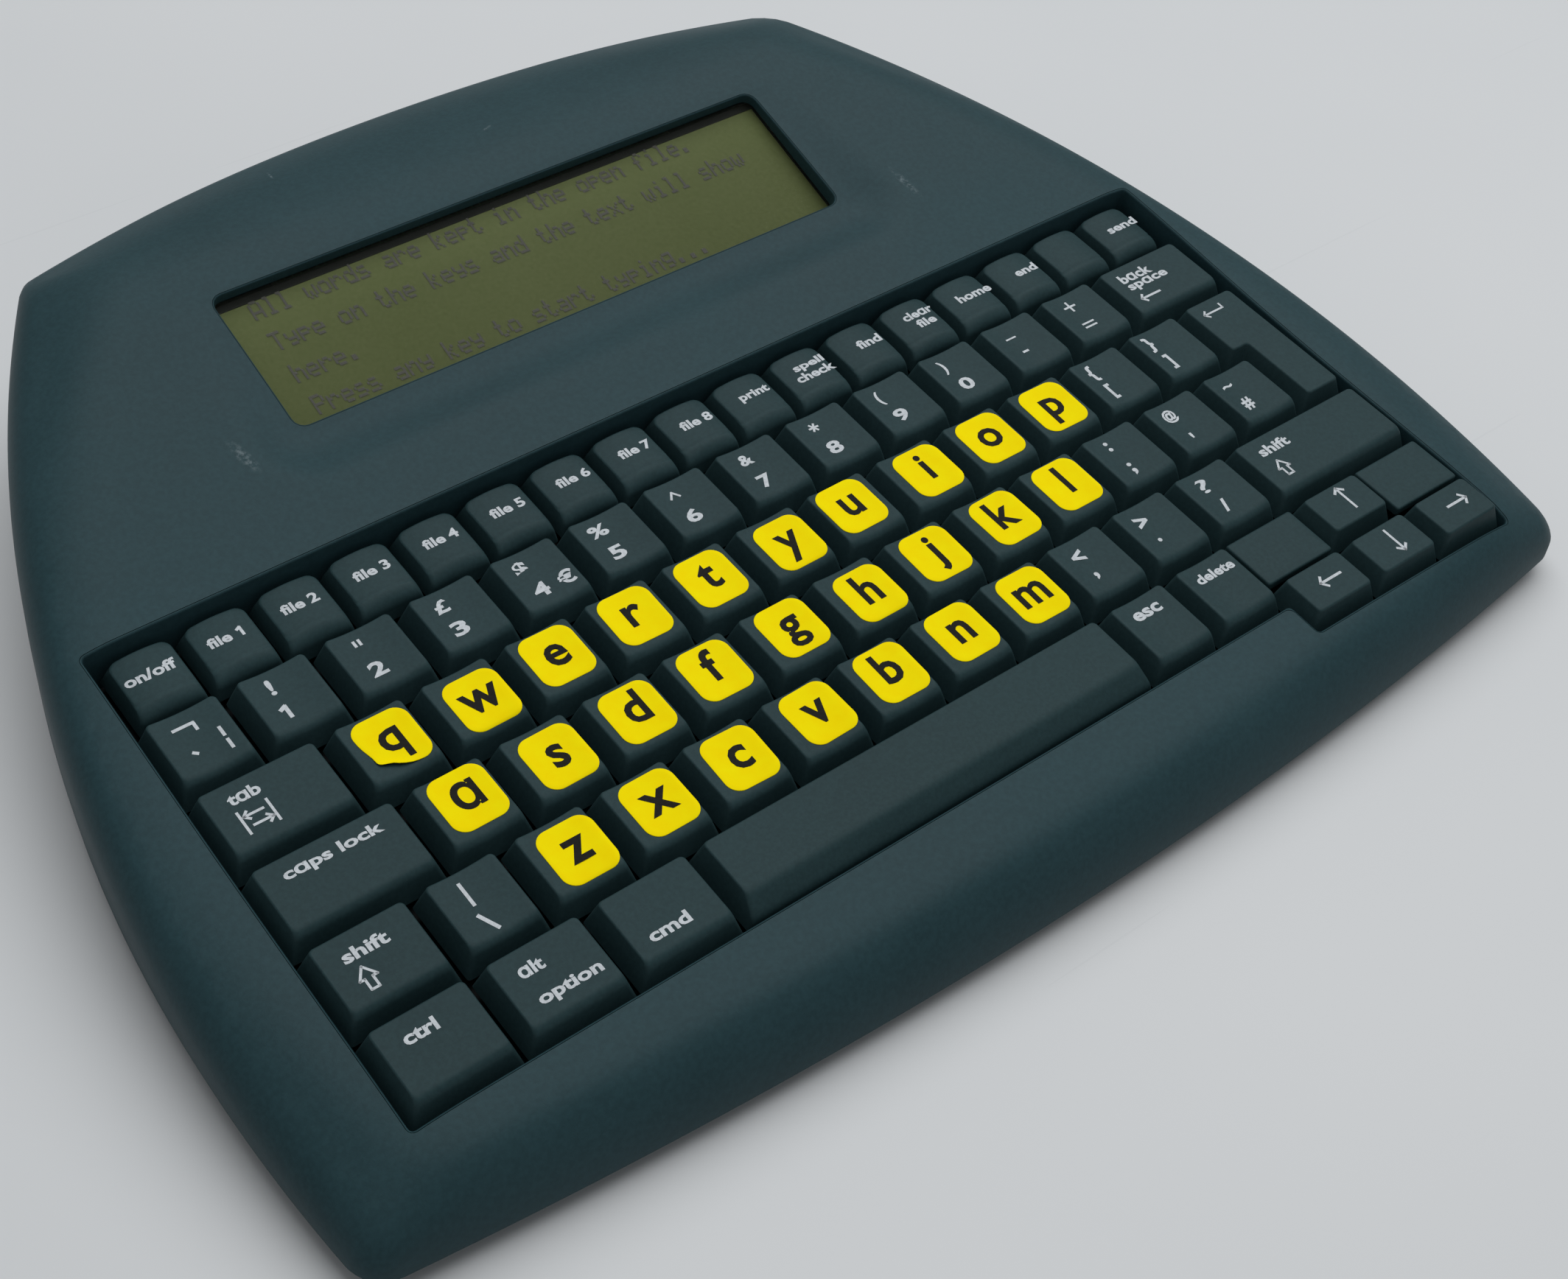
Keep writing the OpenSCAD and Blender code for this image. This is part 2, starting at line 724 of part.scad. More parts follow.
// A flat cable along a line of [y, z] points, its middle at X = x
module flat_cable(points, x, width, t) {
    translate([x - width / 2, 0, 0]) rotate([90, 0, 90]) linear_extrude(height = width)
        for (i = [1 : len(points) - 1])
            let (way = points[i] - points[i - 1])
                translate(points[i - 1]) rotate(atan2(way[1], way[0]))
                    translate([-t / 2, -t / 2]) square([norm(way) + t, t]);
}

// Where the cable starts under the display board, in the case's frame
ribbon_width = 24;
ribbon_x = -70;
ribbon_t = 0.3;
function from_keys(p) = [key_y + p[0] * cos(key_tilt) - p[1] * sin(key_tilt),
                         key_plane_z + p[0] * sin(key_tilt) + p[1] * cos(key_tilt)];
function from_window(p) = from_keys(
    [window_y + (p[0] + window_d / 2) * cos(window_tilt) - p[1] * sin(window_tilt),
     window_rise + (p[0] + window_d / 2) * sin(window_tilt) + p[1] * cos(window_tilt)]);
ribbon_top = from_window([0, stack_bottom - board_t - 0.5]);
socket_h = 2;
cable_z = board_top + socket_h + 0.45;

module display_ribbon() {
    lead = 6;
    color([0.75, 0.72, 0.65])
        flat_cable([[ribbon_top[0] + lead, cable_z], [ribbon_top[0], cable_z],
                    ribbon_top], ribbon_x, ribbon_width, ribbon_t);
}

tail_x = 60;
tail_width = 26;
tail_lead = 5;
tail_clear = 0.6;
tail_slot = 0.4;
film_lift = 0.02;
tail_start = from_keys([kb_back, film_bottom + film_t / 2 + film_lift]);
tail_bend = from_keys([kb_back + well_gap + well_wall + tail_clear,
                       film_bottom + film_t / 2 + film_lift]);

module main_board() {
    chips = [[-54, 20, 14, 14, 1.6], [-20, 18, 20, 14, 1.8], [14, 22, 20, 14, 1.8],
             [34, 60, 9, 6, 1.6], [-30, 56, 8, 8, 1.4]];
    color([0.1, 0.38, 0.2]) difference() {
        union() {
            translate([-board_half, board_front, board_z])
                cube([2 * board_half, board_back - board_front, board_t]);
            translate([ir_x - ir_w / 2, board_back - 1, board_z])
                cube([power_x + power_w / 2 - ir_x + ir_w / 2,
                      wall_y(power_x) - wall - 1 - board_back, board_t]);
            for (c = chips) translate([c[0], board_front + c[1], board_z])
                cube([c[2], c[3], board_t + c[4]]);
            translate([ribbon_x - ribbon_width / 2 - 1, ribbon_top[0] + 1, board_z])
                cube([ribbon_width + 2, 5, board_t + socket_h]);
            translate([tail_x - tail_width / 2 - 1, board_front + 2, board_z])
                cube([tail_width + 2, 4, board_t + socket_h]);
        }
        for (p = BOARD_POSTS) translate([p[0], p[1], board_z - 1])
            cylinder(r = pin_r + 0.1, h = board_t + 2);
    }
}

module key_frame() {
    rim_wall = 1.4;
    outer = well_gap + well_wall;
    hook_x = 30;
    color([0.12, 0.13, 0.14]) on_keys() {
        difference() {
            union() {
                translate([0, 0, guide_bottom]) linear_extrude(height = guide_t)
                    well_2d(outer);
                for (p = STEMS) translate([p[0], p[1], guide_bottom])
                    cylinder(r = chimney_r, h = chimney_top - guide_bottom);
            }
            for (p = STEMS) translate([p[0], p[1], guide_bottom - 1])
                cylinder(r = stem_r + stem_clear, h = 20);
        }
        difference() {
            translate([0, 0, film_bottom])
                linear_extrude(height = guide_bottom - film_bottom) difference() {
                    well_2d(outer);
                    well_2d(outer - rim_wall);
                }
            translate([tail_x - tail_width / 2 - tail_slot, kb_back, film_bottom - 1])
                cube([tail_width + 2 * tail_slot, 2 * outer, 1 + film_t + tail_slot]);
        }
        for (side = [-1, 1])
            translate([space_x + side * hook_x, space_y + wire_y, 0]) difference() {
                translate([-1.5, -1.4, guide_top - 0.5])
                    cube([3, 2.8, wire_z + 1.3 - guide_top + 0.5]);
                translate([-3, 0, wire_z]) rotate([0, 90, 0])
                    cylinder(r = wire_r + 0.06, h = 6);
            }
    }
}

// Plunger places: one in the middle of each key, and two more on the space bar
space_mm = in_mm(SPACE_CELL);
space_x = (space_mm[0] + space_mm[1]) / 2;
space_y = (space_mm[2] + space_mm[3]) / 2;
space_guide = 1.9 * u;
function middle(c) = [(c[0] + c[1]) / 2, (c[2] + c[3]) / 2];
LETTER_CELLS = [for (row = [0 : 2]) for (i = [0 : len(LETTER_ROWS[row]) - 1])
    letter_cell(row, i)];
MAIN_CELLS = concat(NUMBER_CELLS, [BACKSPACE_CELL], PUNCTUATION_CELLS, MODIFIER_CELLS,
                    [LEFT_SHIFT_CELL, RIGHT_SHIFT_CELL, SPACE_CELL, ENTER_CELLS[0]],
                    LETTER_CELLS);
DOMES = concat([for (c = MAIN_CELLS) middle(in_mm(c))],
               [for (c = FUNCTION_CELLS) middle(c)], [for (c = ARROW_CELLS) middle(c)]);
STEMS = concat(DOMES, [for (side = [-1, 1]) [space_x + side * space_guide, space_y]]);

module dome_sheet() {
    edge = well_gap + well_wall - 1.4 - 0.2;
    color([0.5, 0.52, 0.53]) on_keys() {
        difference() {
            union() {
                translate([0, 0, sheet_bottom]) linear_extrude(height = sheet_t)
                    well_2d(edge);
                for (p = DOMES) translate([p[0], p[1], sheet_top - 0.1])
                    cylinder(r1 = dome_bore_r + 1.1, r2 = dome_bore_r + 0.5,
                             h = dome_h + 0.1);
            }
            for (p = DOMES) translate([p[0], p[1], sheet_top])
                cylinder(r = dome_bore_r, h = dome_h + 1);
        }
    }
}

module contact_film() {
    edge = well_gap + well_wall - 1.4 - 0.2;
    color([0.8, 0.78, 0.6]) {
        on_keys() translate([0, 0, film_bottom]) linear_extrude(height = film_t)
            well_2d(edge);
        flat_cable([tail_start, tail_bend, [tail_bend[0], cable_z],
                    [board_front + tail_lead, cable_z]],
                   tail_x, tail_width, film_t);
    }
}

module base_plate() {
    color([0.6, 0.62, 0.63]) on_keys() translate([0, 0, plate_bottom])
        linear_extrude(height = plate_t) well_2d(well_gap + well_wall);
}

module battery_cells() {
    cap_r = 2.6;
    cap_h = 1;
    for (i = [-1 : 1]) translate([0, bay_y + i * cell_step, cell_z])
        rotate([0, i == 0 ? -90 : 90, 0]) {
            color([0.2, 0.2, 0.22]) translate([0, 0, -cell_l / 2])
                cylinder(d = cell_d, h = cell_l - cap_h);
            color([0.7, 0.7, 0.7]) translate([0, 0, cell_l / 2 - cap_h - 0.1])
                cylinder(r = cap_r, h = cap_h + 0.1);
        }
}

module battery_contacts() {
    leaf = 0.4;
    bump = contact_room - leaf - 0.5;
    color([0.75, 0.72, 0.6]) for (side = [-1, 1]) for (i = [-1 : 1])
        translate([side * (bay_half_x - leaf), bay_y + i * cell_step, cell_z])
            rotate([0, side * -90, 0]) {
                translate([-5.5, -5, -leaf]) cube([11, 10, leaf]);
                cylinder(r1 = 4, r2 = 2.2, h = bump + 0.4);
            }
}

module backup_cell() {
    coin_h = 3.2;
    color([0.72, 0.72, 0.7]) translate([board_half - 22, bay_y + 26, board_top])
        cylinder(d = coin_d, h = coin_h);
}

// The upstream socket: a nearly square shell with a square tongue
module usb_device_socket() {
    length = wall_y(device_x) - socket_inset - socket_back;
    shell = 1.4;
    tongue_w = 5.6;
    tongue_h = 3.2;
    mouth = length - 3;
    color([0.7, 0.71, 0.72]) translate([device_x - usb_b_w / 2, socket_back, board_top]) {
        difference() {
            cube([usb_b_w, length, usb_b_h]);
            translate([shell, length - mouth, shell])
                cube([usb_b_w - 2 * shell, length, usb_b_h - 2 * shell]);
        }
        translate([(usb_b_w - tongue_w) / 2, 1, (usb_b_h - tongue_h) / 2])
            cube([tongue_w, length - 3, tongue_h]);
    }
}

// The downstream socket: a flat shell with a thin tongue
module usb_host_socket() {
    length = wall_y(host_x) - socket_inset - socket_back;
    shell = 0.9;
    tongue_t_a = 1.8;
    mouth = length - 3;
    color([0.7, 0.71, 0.72]) translate([host_x - usb_a_w / 2, socket_back, board_top]) {
        difference() {
            cube([usb_a_w, length, usb_a_h]);
            translate([shell, length - mouth, shell])
                cube([usb_a_w - 2 * shell, length, usb_a_h - 2 * shell]);
        }
        translate([shell + 0.6, 1, usb_a_h - shell - tongue_t_a - 0.5])
            cube([usb_a_w - 2 * shell - 1.2, length - 3, tongue_t_a]);
    }
}

module power_socket() {
    length = wall_y(power_x) - socket_inset - socket_back;
    pin = 1;
    color([0.06, 0.06, 0.07]) translate([power_x, socket_back, board_top]) {
        difference() {
            translate([-power_w / 2, 0, 0]) cube([power_w, length, power_h]);
            translate([0, 3, power_h / 2]) rotate([-90, 0, 0])
                cylinder(r = power_bore_r, h = length);
        }
        translate([0, 1, power_h / 2]) rotate([-90, 0, 0]) cylinder(r = pin, h = length - 3);
    }
}

module infrared_window() {
    lens_t = 4;
    color([0.12, 0.03, 0.05])
        translate([ir_x - ir_w / 2, wall_y(ir_x) - 1 - lens_t, board_top])
            cube([ir_w, lens_t, ir_h]);
}

// One keycap block over a cell, as its outer form or as the hollow inside.
// lean is how far the left and right sides lean in.
module key_block(c, lean, top, inset) {
    half_gap = key_gap / 2;
    roof = inset > 0 ? key_roof + (top == "crown" ? 0.6 : 0) : 0;
    low = -key_skirt - (inset > 0 ? 0.5 : 0);
    full = key_rise + key_skirt;
    foot = (low + key_skirt) / full;
    head = (key_rise - roof + key_skirt) / full;
    w = c[1] - c[0] - key_gap - 2 * inset;
    front = c[2] + half_gap + inset;
    back = c[3] - half_gap - inset;
    translate([(c[0] + c[1]) / 2, 0, 0]) intersection() {
        translate([0, back + 5, 0]) rotate([90, 0, 0])
            linear_extrude(height = back - front + 10)
                polygon([[lean * foot - w / 2, low], [w / 2 - lean * foot, low],
                         [w / 2 - lean, key_rise], [lean - w / 2, key_rise]]);
        rotate([90, 0, 90]) linear_extrude(height = w + 10, center = true)
            polygon(top == "bar"
                ? [[front, low], [back - key_back_lean * foot, low],
                   [back - key_back_lean * head, key_rise - roof],
                   [front + 4.6, key_rise - roof], [front + 0.7, key_rise - 3.2 - roof]]
                : [[front + key_front_lean * foot, low], [back - key_back_lean * foot, low],
                   [back - key_back_lean * head, key_rise - roof],
                   [front + key_front_lean * head, key_rise - roof]]);
    }
}

// A whole key from its cells; top is "dish", "flat", "crown" or "bar"
module key_solid(cells, lean, top, stems) {
    c = cells[0];
    mid = middle(c);
    difference() {
        intersection() {
            union() for (cell = cells) key_block(cell, lean, top, 0);
            if (top == "crown")
                translate([mid[0], c[2] - 5, key_rise - 0.3 - func_crown_r])
                    rotate([-90, 0, 0])
                        cylinder(r = func_crown_r, h = c[3] - c[2] + 10, $fn = 180);
            else
                translate([-far / 2, -far / 2, -20]) cube([far, far, 40]);
        }
        for (cell = cells) key_block(cell, lean, top, key_wall);
        if (top == "dish")
            translate([mid[0], c[2] - 5, key_rise - key_dish + key_dish_r])
                rotate([-90, 0, 0])
                    cylinder(r = key_dish_r, h = c[3] - c[2] + 10, $fn = 180);
    }
    for (p = stems) translate([p[0], p[1], stem_bottom])
        cylinder(r = stem_r, h = key_ceiling - stem_bottom + 0.3);
}

module key(c, top = "dish") {
    color(KEY) on_keys() key_solid([c], key_side_lean, top, [middle(c)]);
}

module space_bar() {
    pad_x = 42;
    color(KEY) on_keys() {
        key_solid([space_mm], key_side_lean, "bar",
                  [for (side = [-1, 0, 1]) [space_x + side * space_guide, space_y]]);
        for (side = [-1, 1])
            translate([space_x + side * pad_x - 1.5,
                       space_y + wire_y - wire_arm * cos(wire_lift) - 1.5, foot_z + 0.9])
                cube([3, 3, key_ceiling - foot_z - 0.9 + 0.2]);
    }
}

// The wire that keeps the space bar level: a long run held in two hooks, and
// an arm at each end with a foot under the bar
wire_r = 0.6;
wire_y = 5.4;
wire_z = guide_top + 2.6;
wire_arm = 7;
wire_lift = asin(key_travel / 2 / wire_arm);
foot_z = wire_z + key_travel / 2;

module space_bar_wire() {
    run = 90;
    foot = 4;
    lap = 0.4;
    color([0.7, 0.71, 0.72]) on_keys() translate([space_x, space_y + wire_y, wire_z]) {
        translate([-run / 2 - lap, 0, 0]) rotate([0, 90, 0])
            cylinder(r = wire_r, h = run + 2 * lap);
        for (side = [-1, 1]) translate([side * run / 2, 0, 0])
            rotate([-wire_lift, 0, 0]) {
                translate([0, lap, 0]) rotate([90, 0, 0])
                    cylinder(r = wire_r, h = wire_arm + 2 * lap);
                translate([side * lap, -wire_arm, 0]) rotate([0, -side * 90, 0])
                    cylinder(r = wire_r, h = foot + lap);
            }
    }
}

module enter_key() {
    cells = [for (c = ENTER_CELLS) in_mm(c)];
    color(KEY) on_keys() key_solid(cells, key_side_lean, "flat", [middle(cells[0])]);
}

module number_keys() {
    for (c = NUMBER_CELLS) key(in_mm(c));
}

module punctuation_keys() {
    for (c = PUNCTUATION_CELLS) key(in_mm(c));
}

module modifier_keys() {
    for (c = MODIFIER_CELLS) key(in_mm(c), c[1] - c[0] > 1.6 ? "flat" : "dish");
}

module arrow_keys() {
    for (c = ARROW_CELLS) key(c);
}

module function_keys() {
    func_lean = 1.2;
    color(KEY) on_keys() for (c = FUNCTION_CELLS)
        key_solid([c], func_lean, "crown", [middle(c)]);
}

// Fixed blank covers beside the arrow keys, on short feet
module key_blanks() {
    blank_top = -0.6;
    blank_t = 2;
    color(KEY) on_keys() for (c = BLANK_CELLS) {
        m = middle(c);
        translate([c[0] + key_gap / 2, c[2] + key_gap / 2, blank_top - blank_t])
            cube([c[1] - c[0] - key_gap, c[3] - c[2] - key_gap, blank_t]);
        for (side = [-1, 1])
            translate([m[0] + side * 5 - 1.5, m[1] - 2, guide_top])
                cube([3, 4, blank_top - guide_top - 0.5]);
    }
}

module letter_key(row, i) {
    key(in_mm(letter_cell(row, i)));
}

top_shell();
bottom_shell();
display_window();
display_panel();
display_frame();
display_board();
display_ribbon();
key_frame();
dome_sheet();
contact_film();
base_plate();
main_board();
usb_host_socket();
usb_device_socket();
power_socket();
infrared_window();
battery_cells();
battery_contacts();
battery_door();
backup_cell();
case_screws();
rubber_feet();
key_blanks();
space_bar_wire();
space_bar();
enter_key();
key(in_mm(BACKSPACE_CELL));  // backspace_key
key(in_mm(LEFT_SHIFT_CELL));  // left_shift_key
key(in_mm(RIGHT_SHIFT_CELL), "flat");  // right_shift_key
number_keys();
function_keys();
punctuation_keys();
modifier_keys();
arrow_keys();
for (row = [0 : 2]) for (i = [0 : len(LETTER_ROWS[row]) - 1])
    letter_key(row, i);
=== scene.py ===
"""Looks of the portable word processor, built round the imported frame."""
import math

import bpy
import numpy as np
from mathutils import Matrix, Vector, geometry


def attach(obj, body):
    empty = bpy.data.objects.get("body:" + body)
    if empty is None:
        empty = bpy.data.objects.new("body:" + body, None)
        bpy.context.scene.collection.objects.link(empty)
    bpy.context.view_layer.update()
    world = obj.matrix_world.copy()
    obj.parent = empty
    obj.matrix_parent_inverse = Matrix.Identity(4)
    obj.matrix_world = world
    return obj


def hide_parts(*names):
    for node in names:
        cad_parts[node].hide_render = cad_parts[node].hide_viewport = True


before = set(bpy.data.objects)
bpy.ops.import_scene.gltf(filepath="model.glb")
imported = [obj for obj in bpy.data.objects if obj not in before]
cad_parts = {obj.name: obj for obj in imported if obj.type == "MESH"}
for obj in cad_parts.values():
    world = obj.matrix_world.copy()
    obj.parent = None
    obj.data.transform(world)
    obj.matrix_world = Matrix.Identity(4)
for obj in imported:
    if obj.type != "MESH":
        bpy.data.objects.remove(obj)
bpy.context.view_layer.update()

# Sizes in millimetres, as in the CAD
U = 19.05
GAP, RISE, SKIRT = 0.85, 1.4, -4.4
TILT, KEY_Z = math.radians(5), 27.0
WELL_GAP, WELL_FLOOR = 0.5, -7.6
SIDE_MARGIN, FRONT_MARGIN = 17.6, 23.5
DISPLAY_GAP, RIDGE_GAP, BACK_FALL, BACK_MARGIN = 30.0, 7.8, 41.0, 28.0
FRONT_BOW, SIDE_BOW, BACK_BOW = 9.8, 21.6, 12.0
DECK_FRONT, DECK_BACK, RIDGE_RISE, FALL_R, FALL_LEAD = 0.0, 3.8, 12.9, 85.0, 3.0
RIM_ROLL, FRONT_ROLL, BACK_ROLL = 10.0, 15.5, 10.0
RIM_TILT, RIM_FRONT_Z = math.radians(8.9), 3.4
FRONT_CORNER_R, BACK_CORNER_R = 8.0, 6.0
SEAM_TILT, SEAM_FRONT_Z = math.radians(3.5), 4.1
WINDOW_W, WINDOW_D, WINDOW_TILT = 145.0, 34.5, math.radians(13.6)
WINDOW_RISE, WINDOW_DEPTH, WINDOW_T, SCOOP_R = 4.1, 3.5, 1.2, 19.0
FUNC_PITCH, FUNC_DEPTH, CROWN_R = 16.04, 17.1, 26.0
ARROW_DEPTH = 13.6
KEYBOARD_U, CLUSTER_LEFT = 14.5, 11.25
FLOOR_Z, WALL, BAY_CLEAR, CELL_D, BAY_ROOM = 2.5, 2.2, 0.35, 14.5, 0.8
BAY_WALL, BOARD_CLEAR, BOARD_T = 1.5, 0.3, 1.6

# The display's opening as it shows in the photograph: left, right, front and back edge
OPENING = (-73.4, 72.9, -16.4, 20.1)

KB_HALF = KEYBOARD_U * U / 2
KB_FRONT = -3.5 * U
FUNC_FRONT = 1.5 * U
KB_BACK = FUNC_FRONT + FUNC_DEPTH
CLUSTER_X = CLUSTER_LEFT * U - KB_HALF
CLUSTER_BACK = -2.5 * U
CLUSTER_FRONT = CLUSTER_BACK - 2 * ARROW_DEPTH
WINDOW_Y = KB_BACK + DISPLAY_GAP
RIDGE_Y = WINDOW_Y + WINDOW_D * math.cos(WINDOW_TILT) + RIDGE_GAP
BODY_D = FRONT_MARGIN + (RIDGE_Y - KB_FRONT) * math.cos(TILT) + BACK_FALL
FRONT_Y, BACK_Y = -BODY_D / 2, BODY_D / 2
KEY_Y = FRONT_Y + FRONT_MARGIN - KB_FRONT * math.cos(TILT)
FRONT_HALF = KB_HALF + SIDE_MARGIN
BACK_HALF = WINDOW_W / 2 + BACK_MARGIN
FRONT_CORNER_Y, BACK_CORNER_Y = FRONT_Y + FRONT_BOW, BACK_Y - BACK_BOW
RIM_Z = RIM_FRONT_Z - FRONT_Y * math.tan(RIM_TILT)
SEAM_Z = SEAM_FRONT_Z - FRONT_Y * math.tan(SEAM_TILT)
# Origins of the keys' plane and of the window's front edge, and from there to its middle
KEYS_AT, WINDOW_AT = (0, KEY_Y, KEY_Z), (0, WINDOW_Y, WINDOW_RISE)
WINDOW_HALF = (0, WINDOW_D / 2, 0)
BOARD_TOP = FLOOR_Z + WALL + BAY_CLEAR + CELL_D + BAY_ROOM + BAY_WALL + BOARD_CLEAR + BOARD_T


def arr(points):
    return np.asarray(points, float).reshape(-1, 3)


def tilted(p, angle):
    """Points turned about x, so that what lies behind the origin rises."""
    p = arr(p)
    c, s = math.cos(angle), math.sin(angle)
    return np.stack([p[:, 0], p[:, 1] * c - p[:, 2] * s, p[:, 1] * s + p[:, 2] * c], 1)


def keys_to_world(p):
    return tilted(p, TILT) + KEYS_AT


def world_to_keys(p):
    return tilted(arr(p) - KEYS_AT, -TILT)


def window_to_world(p):
    return keys_to_world(tilted(arr(p) + WINDOW_HALF, WINDOW_TILT) + WINDOW_AT)


def keys_to_window(p):
    return tilted(arr(p) - WINDOW_AT, -WINDOW_TILT) - WINDOW_HALF


def unit(v):
    return v / np.linalg.norm(v)


def polar(t):
    return np.array([math.cos(t), math.sin(t)])


def bearing(v):
    return math.atan2(v[1], v[0])


def spun(points, t):
    c, s = math.cos(t), math.sin(t)
    return np.stack([points[:, 0] * c - points[:, 1] * s,
                     points[:, 0] * s + points[:, 1] * c], 1)


def rectangle(x0, y0, x1, y1):
    return [(x0, y0), (x1, y0), (x1, y1), (x0, y1)]


def at_height(points, z):
    return np.column_stack([points, np.full(len(points), z)])


# Mesh making
class Build:
    """Gathers several lofts in one mesh."""

    def __init__(self):
        self.points, self.faces, self.normals = [], [], {}

    def add(self, points, faces):
        base = len(self.points)
        self.points += arr(points).tolist()
        self.faces += [tuple(i + base for i in f) for f in faces]

    def loft(self, rings, cap=None, floor=False):
        """Rings run from low to high, each counter-clockwise seen from above."""
        n, base = len(rings[0]), len(self.points)
        for ring in rings:
            self.points += arr(ring).tolist()
        for k in range(len(rings) - 1):
            a = base + k * n
            for i in range(n):
                j = (i + 1) % n
                self.faces.append((a + i, a + j, a + n + j, a + n + i))
        top = base + (len(rings) - 1) * n
        if cap == "fan":
            self.points.append(arr(rings[-1]).mean(0).tolist())
            centre = len(self.points) - 1
            self.faces += [(top + i, top + (i + 1) % n, centre) for i in range(n)]
        elif cap == "face":
            self.faces.append(tuple(range(top, top + n)))
        if floor:
            self.faces.append(tuple(range(base, base + n))[::-1])

    def shade(self, first, points):
        """Gives points, which start at first, the normals of the shell's own surface."""
        for i, normal in enumerate(surface_normals(points)):
            self.normals[first + i] = normal


def make_object(name, build, body, mat, normals=None, smooth=True):
    mesh = bpy.data.meshes.new(name)
    mesh.from_pydata((arr(build.points) * 0.001).tolist(), [], build.faces)
    mesh.polygons.foreach_set("use_smooth", [smooth] * len(mesh.polygons))
    if normals is not None:
        mesh.normals_split_custom_set_from_vertices(normals.tolist())
    mesh.materials.append(mat)
    obj = bpy.data.objects.new(name, mesh)
    bpy.context.scene.collection.objects.link(obj)
    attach(obj, body)
    return obj


def rounded(corners, radii, n=5, step=3.0, counts=None):
    """A polygon with rounded corners and its sides divided. Returns points and
    the number of divisions of each side, to give to the next ring."""
    corners = [np.array(c, float) for c in corners]
    m = len(corners)
    arcs = []
    for i, (p, r) in enumerate(zip(corners, radii)):
        a, b = unit(corners[i - 1] - p), unit(corners[(i + 1) % m] - p)
        half = math.acos(max(-1, min(1, float(a @ b)))) / 2
        centre = p + (a + b) / np.linalg.norm(a + b) * r / math.sin(half)
        t0, t1 = (bearing(p + v * r / math.tan(half) - centre) for v in (a, b))
        turn = (t1 - t0 + math.pi) % (2 * math.pi) - math.pi
        arcs.append([centre + r * polar(t0 + turn * k / n) for k in range(n + 1)])
    sides = [(arcs[i][-1], arcs[(i + 1) % m][0]) for i in range(m)]
    if counts is None:
        counts = [max(1, int(np.linalg.norm(b - a) / step)) for a, b in sides]
    out = []
    for arc, (a, b), count in zip(arcs, sides, counts):
        out += arc + [a + (b - a) * k / count for k in range(1, count)]
    return np.array(out), counts


# Materials
class Look:
    """A material: its shader and the nodes that feed it."""

    def __init__(self, name, color, rough, gloss=0.5, metallic=0.0, stretch=(1, 1, 1)):
        self.mat = bpy.data.materials.new(name)
        self.mat.use_nodes = True
        self.tree = self.mat.node_tree
        self.shader = self.tree.nodes["Principled BSDF"]
        self.put("Base Color", color)
        self.put("Roughness", rough)
        self.put("Metallic", metallic)
        self.put("Specular IOR Level", gloss)
        self.coords = self.place(stretch)

    def feed(self, socket, value):
        if isinstance(value, bpy.types.NodeSocket):
            self.tree.links.new(value, socket)
        elif socket.type == "RGBA":
            socket.default_value = (*value, 1)
        else:
            socket.default_value = value

    def put(self, key, value):
        self.feed(self.shader.inputs[key], value)

    def node(self, kind, inputs, **settings):
        n = self.tree.nodes.new("ShaderNode" + kind)
        for key, value in settings.items():
            setattr(n, key, value)
        for key, value in inputs.items():
            self.feed(n.inputs[key], value)
        return n

    def place(self, scale=(1, 1, 1), turn=(0, 0, 0)):
        source = self.node("TexCoord", {}).outputs["Object"]
        return self.node("Mapping", {"Vector": source, "Scale": scale,
                                     "Rotation": turn}).outputs["Vector"]

    def noise(self, scale, detail=2.0, rough=0.5, coords=None):
        return self.node("TexNoise", {"Vector": coords or self.coords, "Scale": scale,
                                      "Detail": detail, "Roughness": rough}).outputs["Fac"]

    def ramp(self, source, low, high, a=0.3, b=0.7):
        r = self.node("ValToRGB", {"Fac": source})
        for element, at, color in zip(r.color_ramp.elements, (a, b), (low, high)):
            element.position = at
            element.color = (*color, 1)
        return r.outputs["Color"]

    def remap(self, source, a, b, c, d):
        return self.node("MapRange", {"Value": source, "From Min": a, "From Max": b,
                                      "To Min": c, "To Max": d}).outputs["Result"]

    def mix(self, factor, a, b):
        return self.node("Mix", {0: factor, 6: a, 7: b}, data_type="RGBA").outputs[2]

    def math(self, operation, a, b):
        return self.node("Math", {0: a, 1: b}, operation=operation).outputs[0]

    def tint(self, source, low, high, a=0.3, b=0.7):
        self.put("Base Color", self.ramp(source, low, high, a, b))

    def bump(self, source, strength, distance):
        """Adds a bump, on top of the one before."""
        n = self.node("Bump", {"Height": source, "Strength": strength, "Distance": distance})
        for link in self.shader.inputs["Normal"].links:
            self.feed(n.inputs["Normal"], link.from_socket)
        self.put("Normal", n.outputs["Normal"])


def scaled(color, share, more=0.0):
    return tuple(min(1, c * share + more) for c in color)


def moulded(name, color, rough, grain=1600.0, strength=0.35, gloss=0.12):
    """Spark-eroded plastic: fine even grain, faint cloudiness, rubbed patches."""
    look = Look(name, color, rough, gloss)
    clouds = look.noise(22, 4, 0.6)
    speck = look.noise(grain * 0.55, 2, 0.6)
    wide = look.ramp(clouds, scaled(color, 0.86), scaled(color, 1.16, 0.003), 0.25, 0.8)
    fine = look.ramp(speck, scaled(color, 0.8), scaled(color, 1.3), 0.35, 0.68)
    look.put("Base Color", look.mix(0.35, wide, fine))
    look.put("Roughness", look.remap(clouds, 0.3, 0.75, rough - 0.05, rough + 0.06))
    look.bump(look.noise(grain, 3, 0.65), strength, 0.00006)
    look.bump(look.noise(grain * 0.25, 2, 0.5), strength * 0.4, 0.00008)
    return look


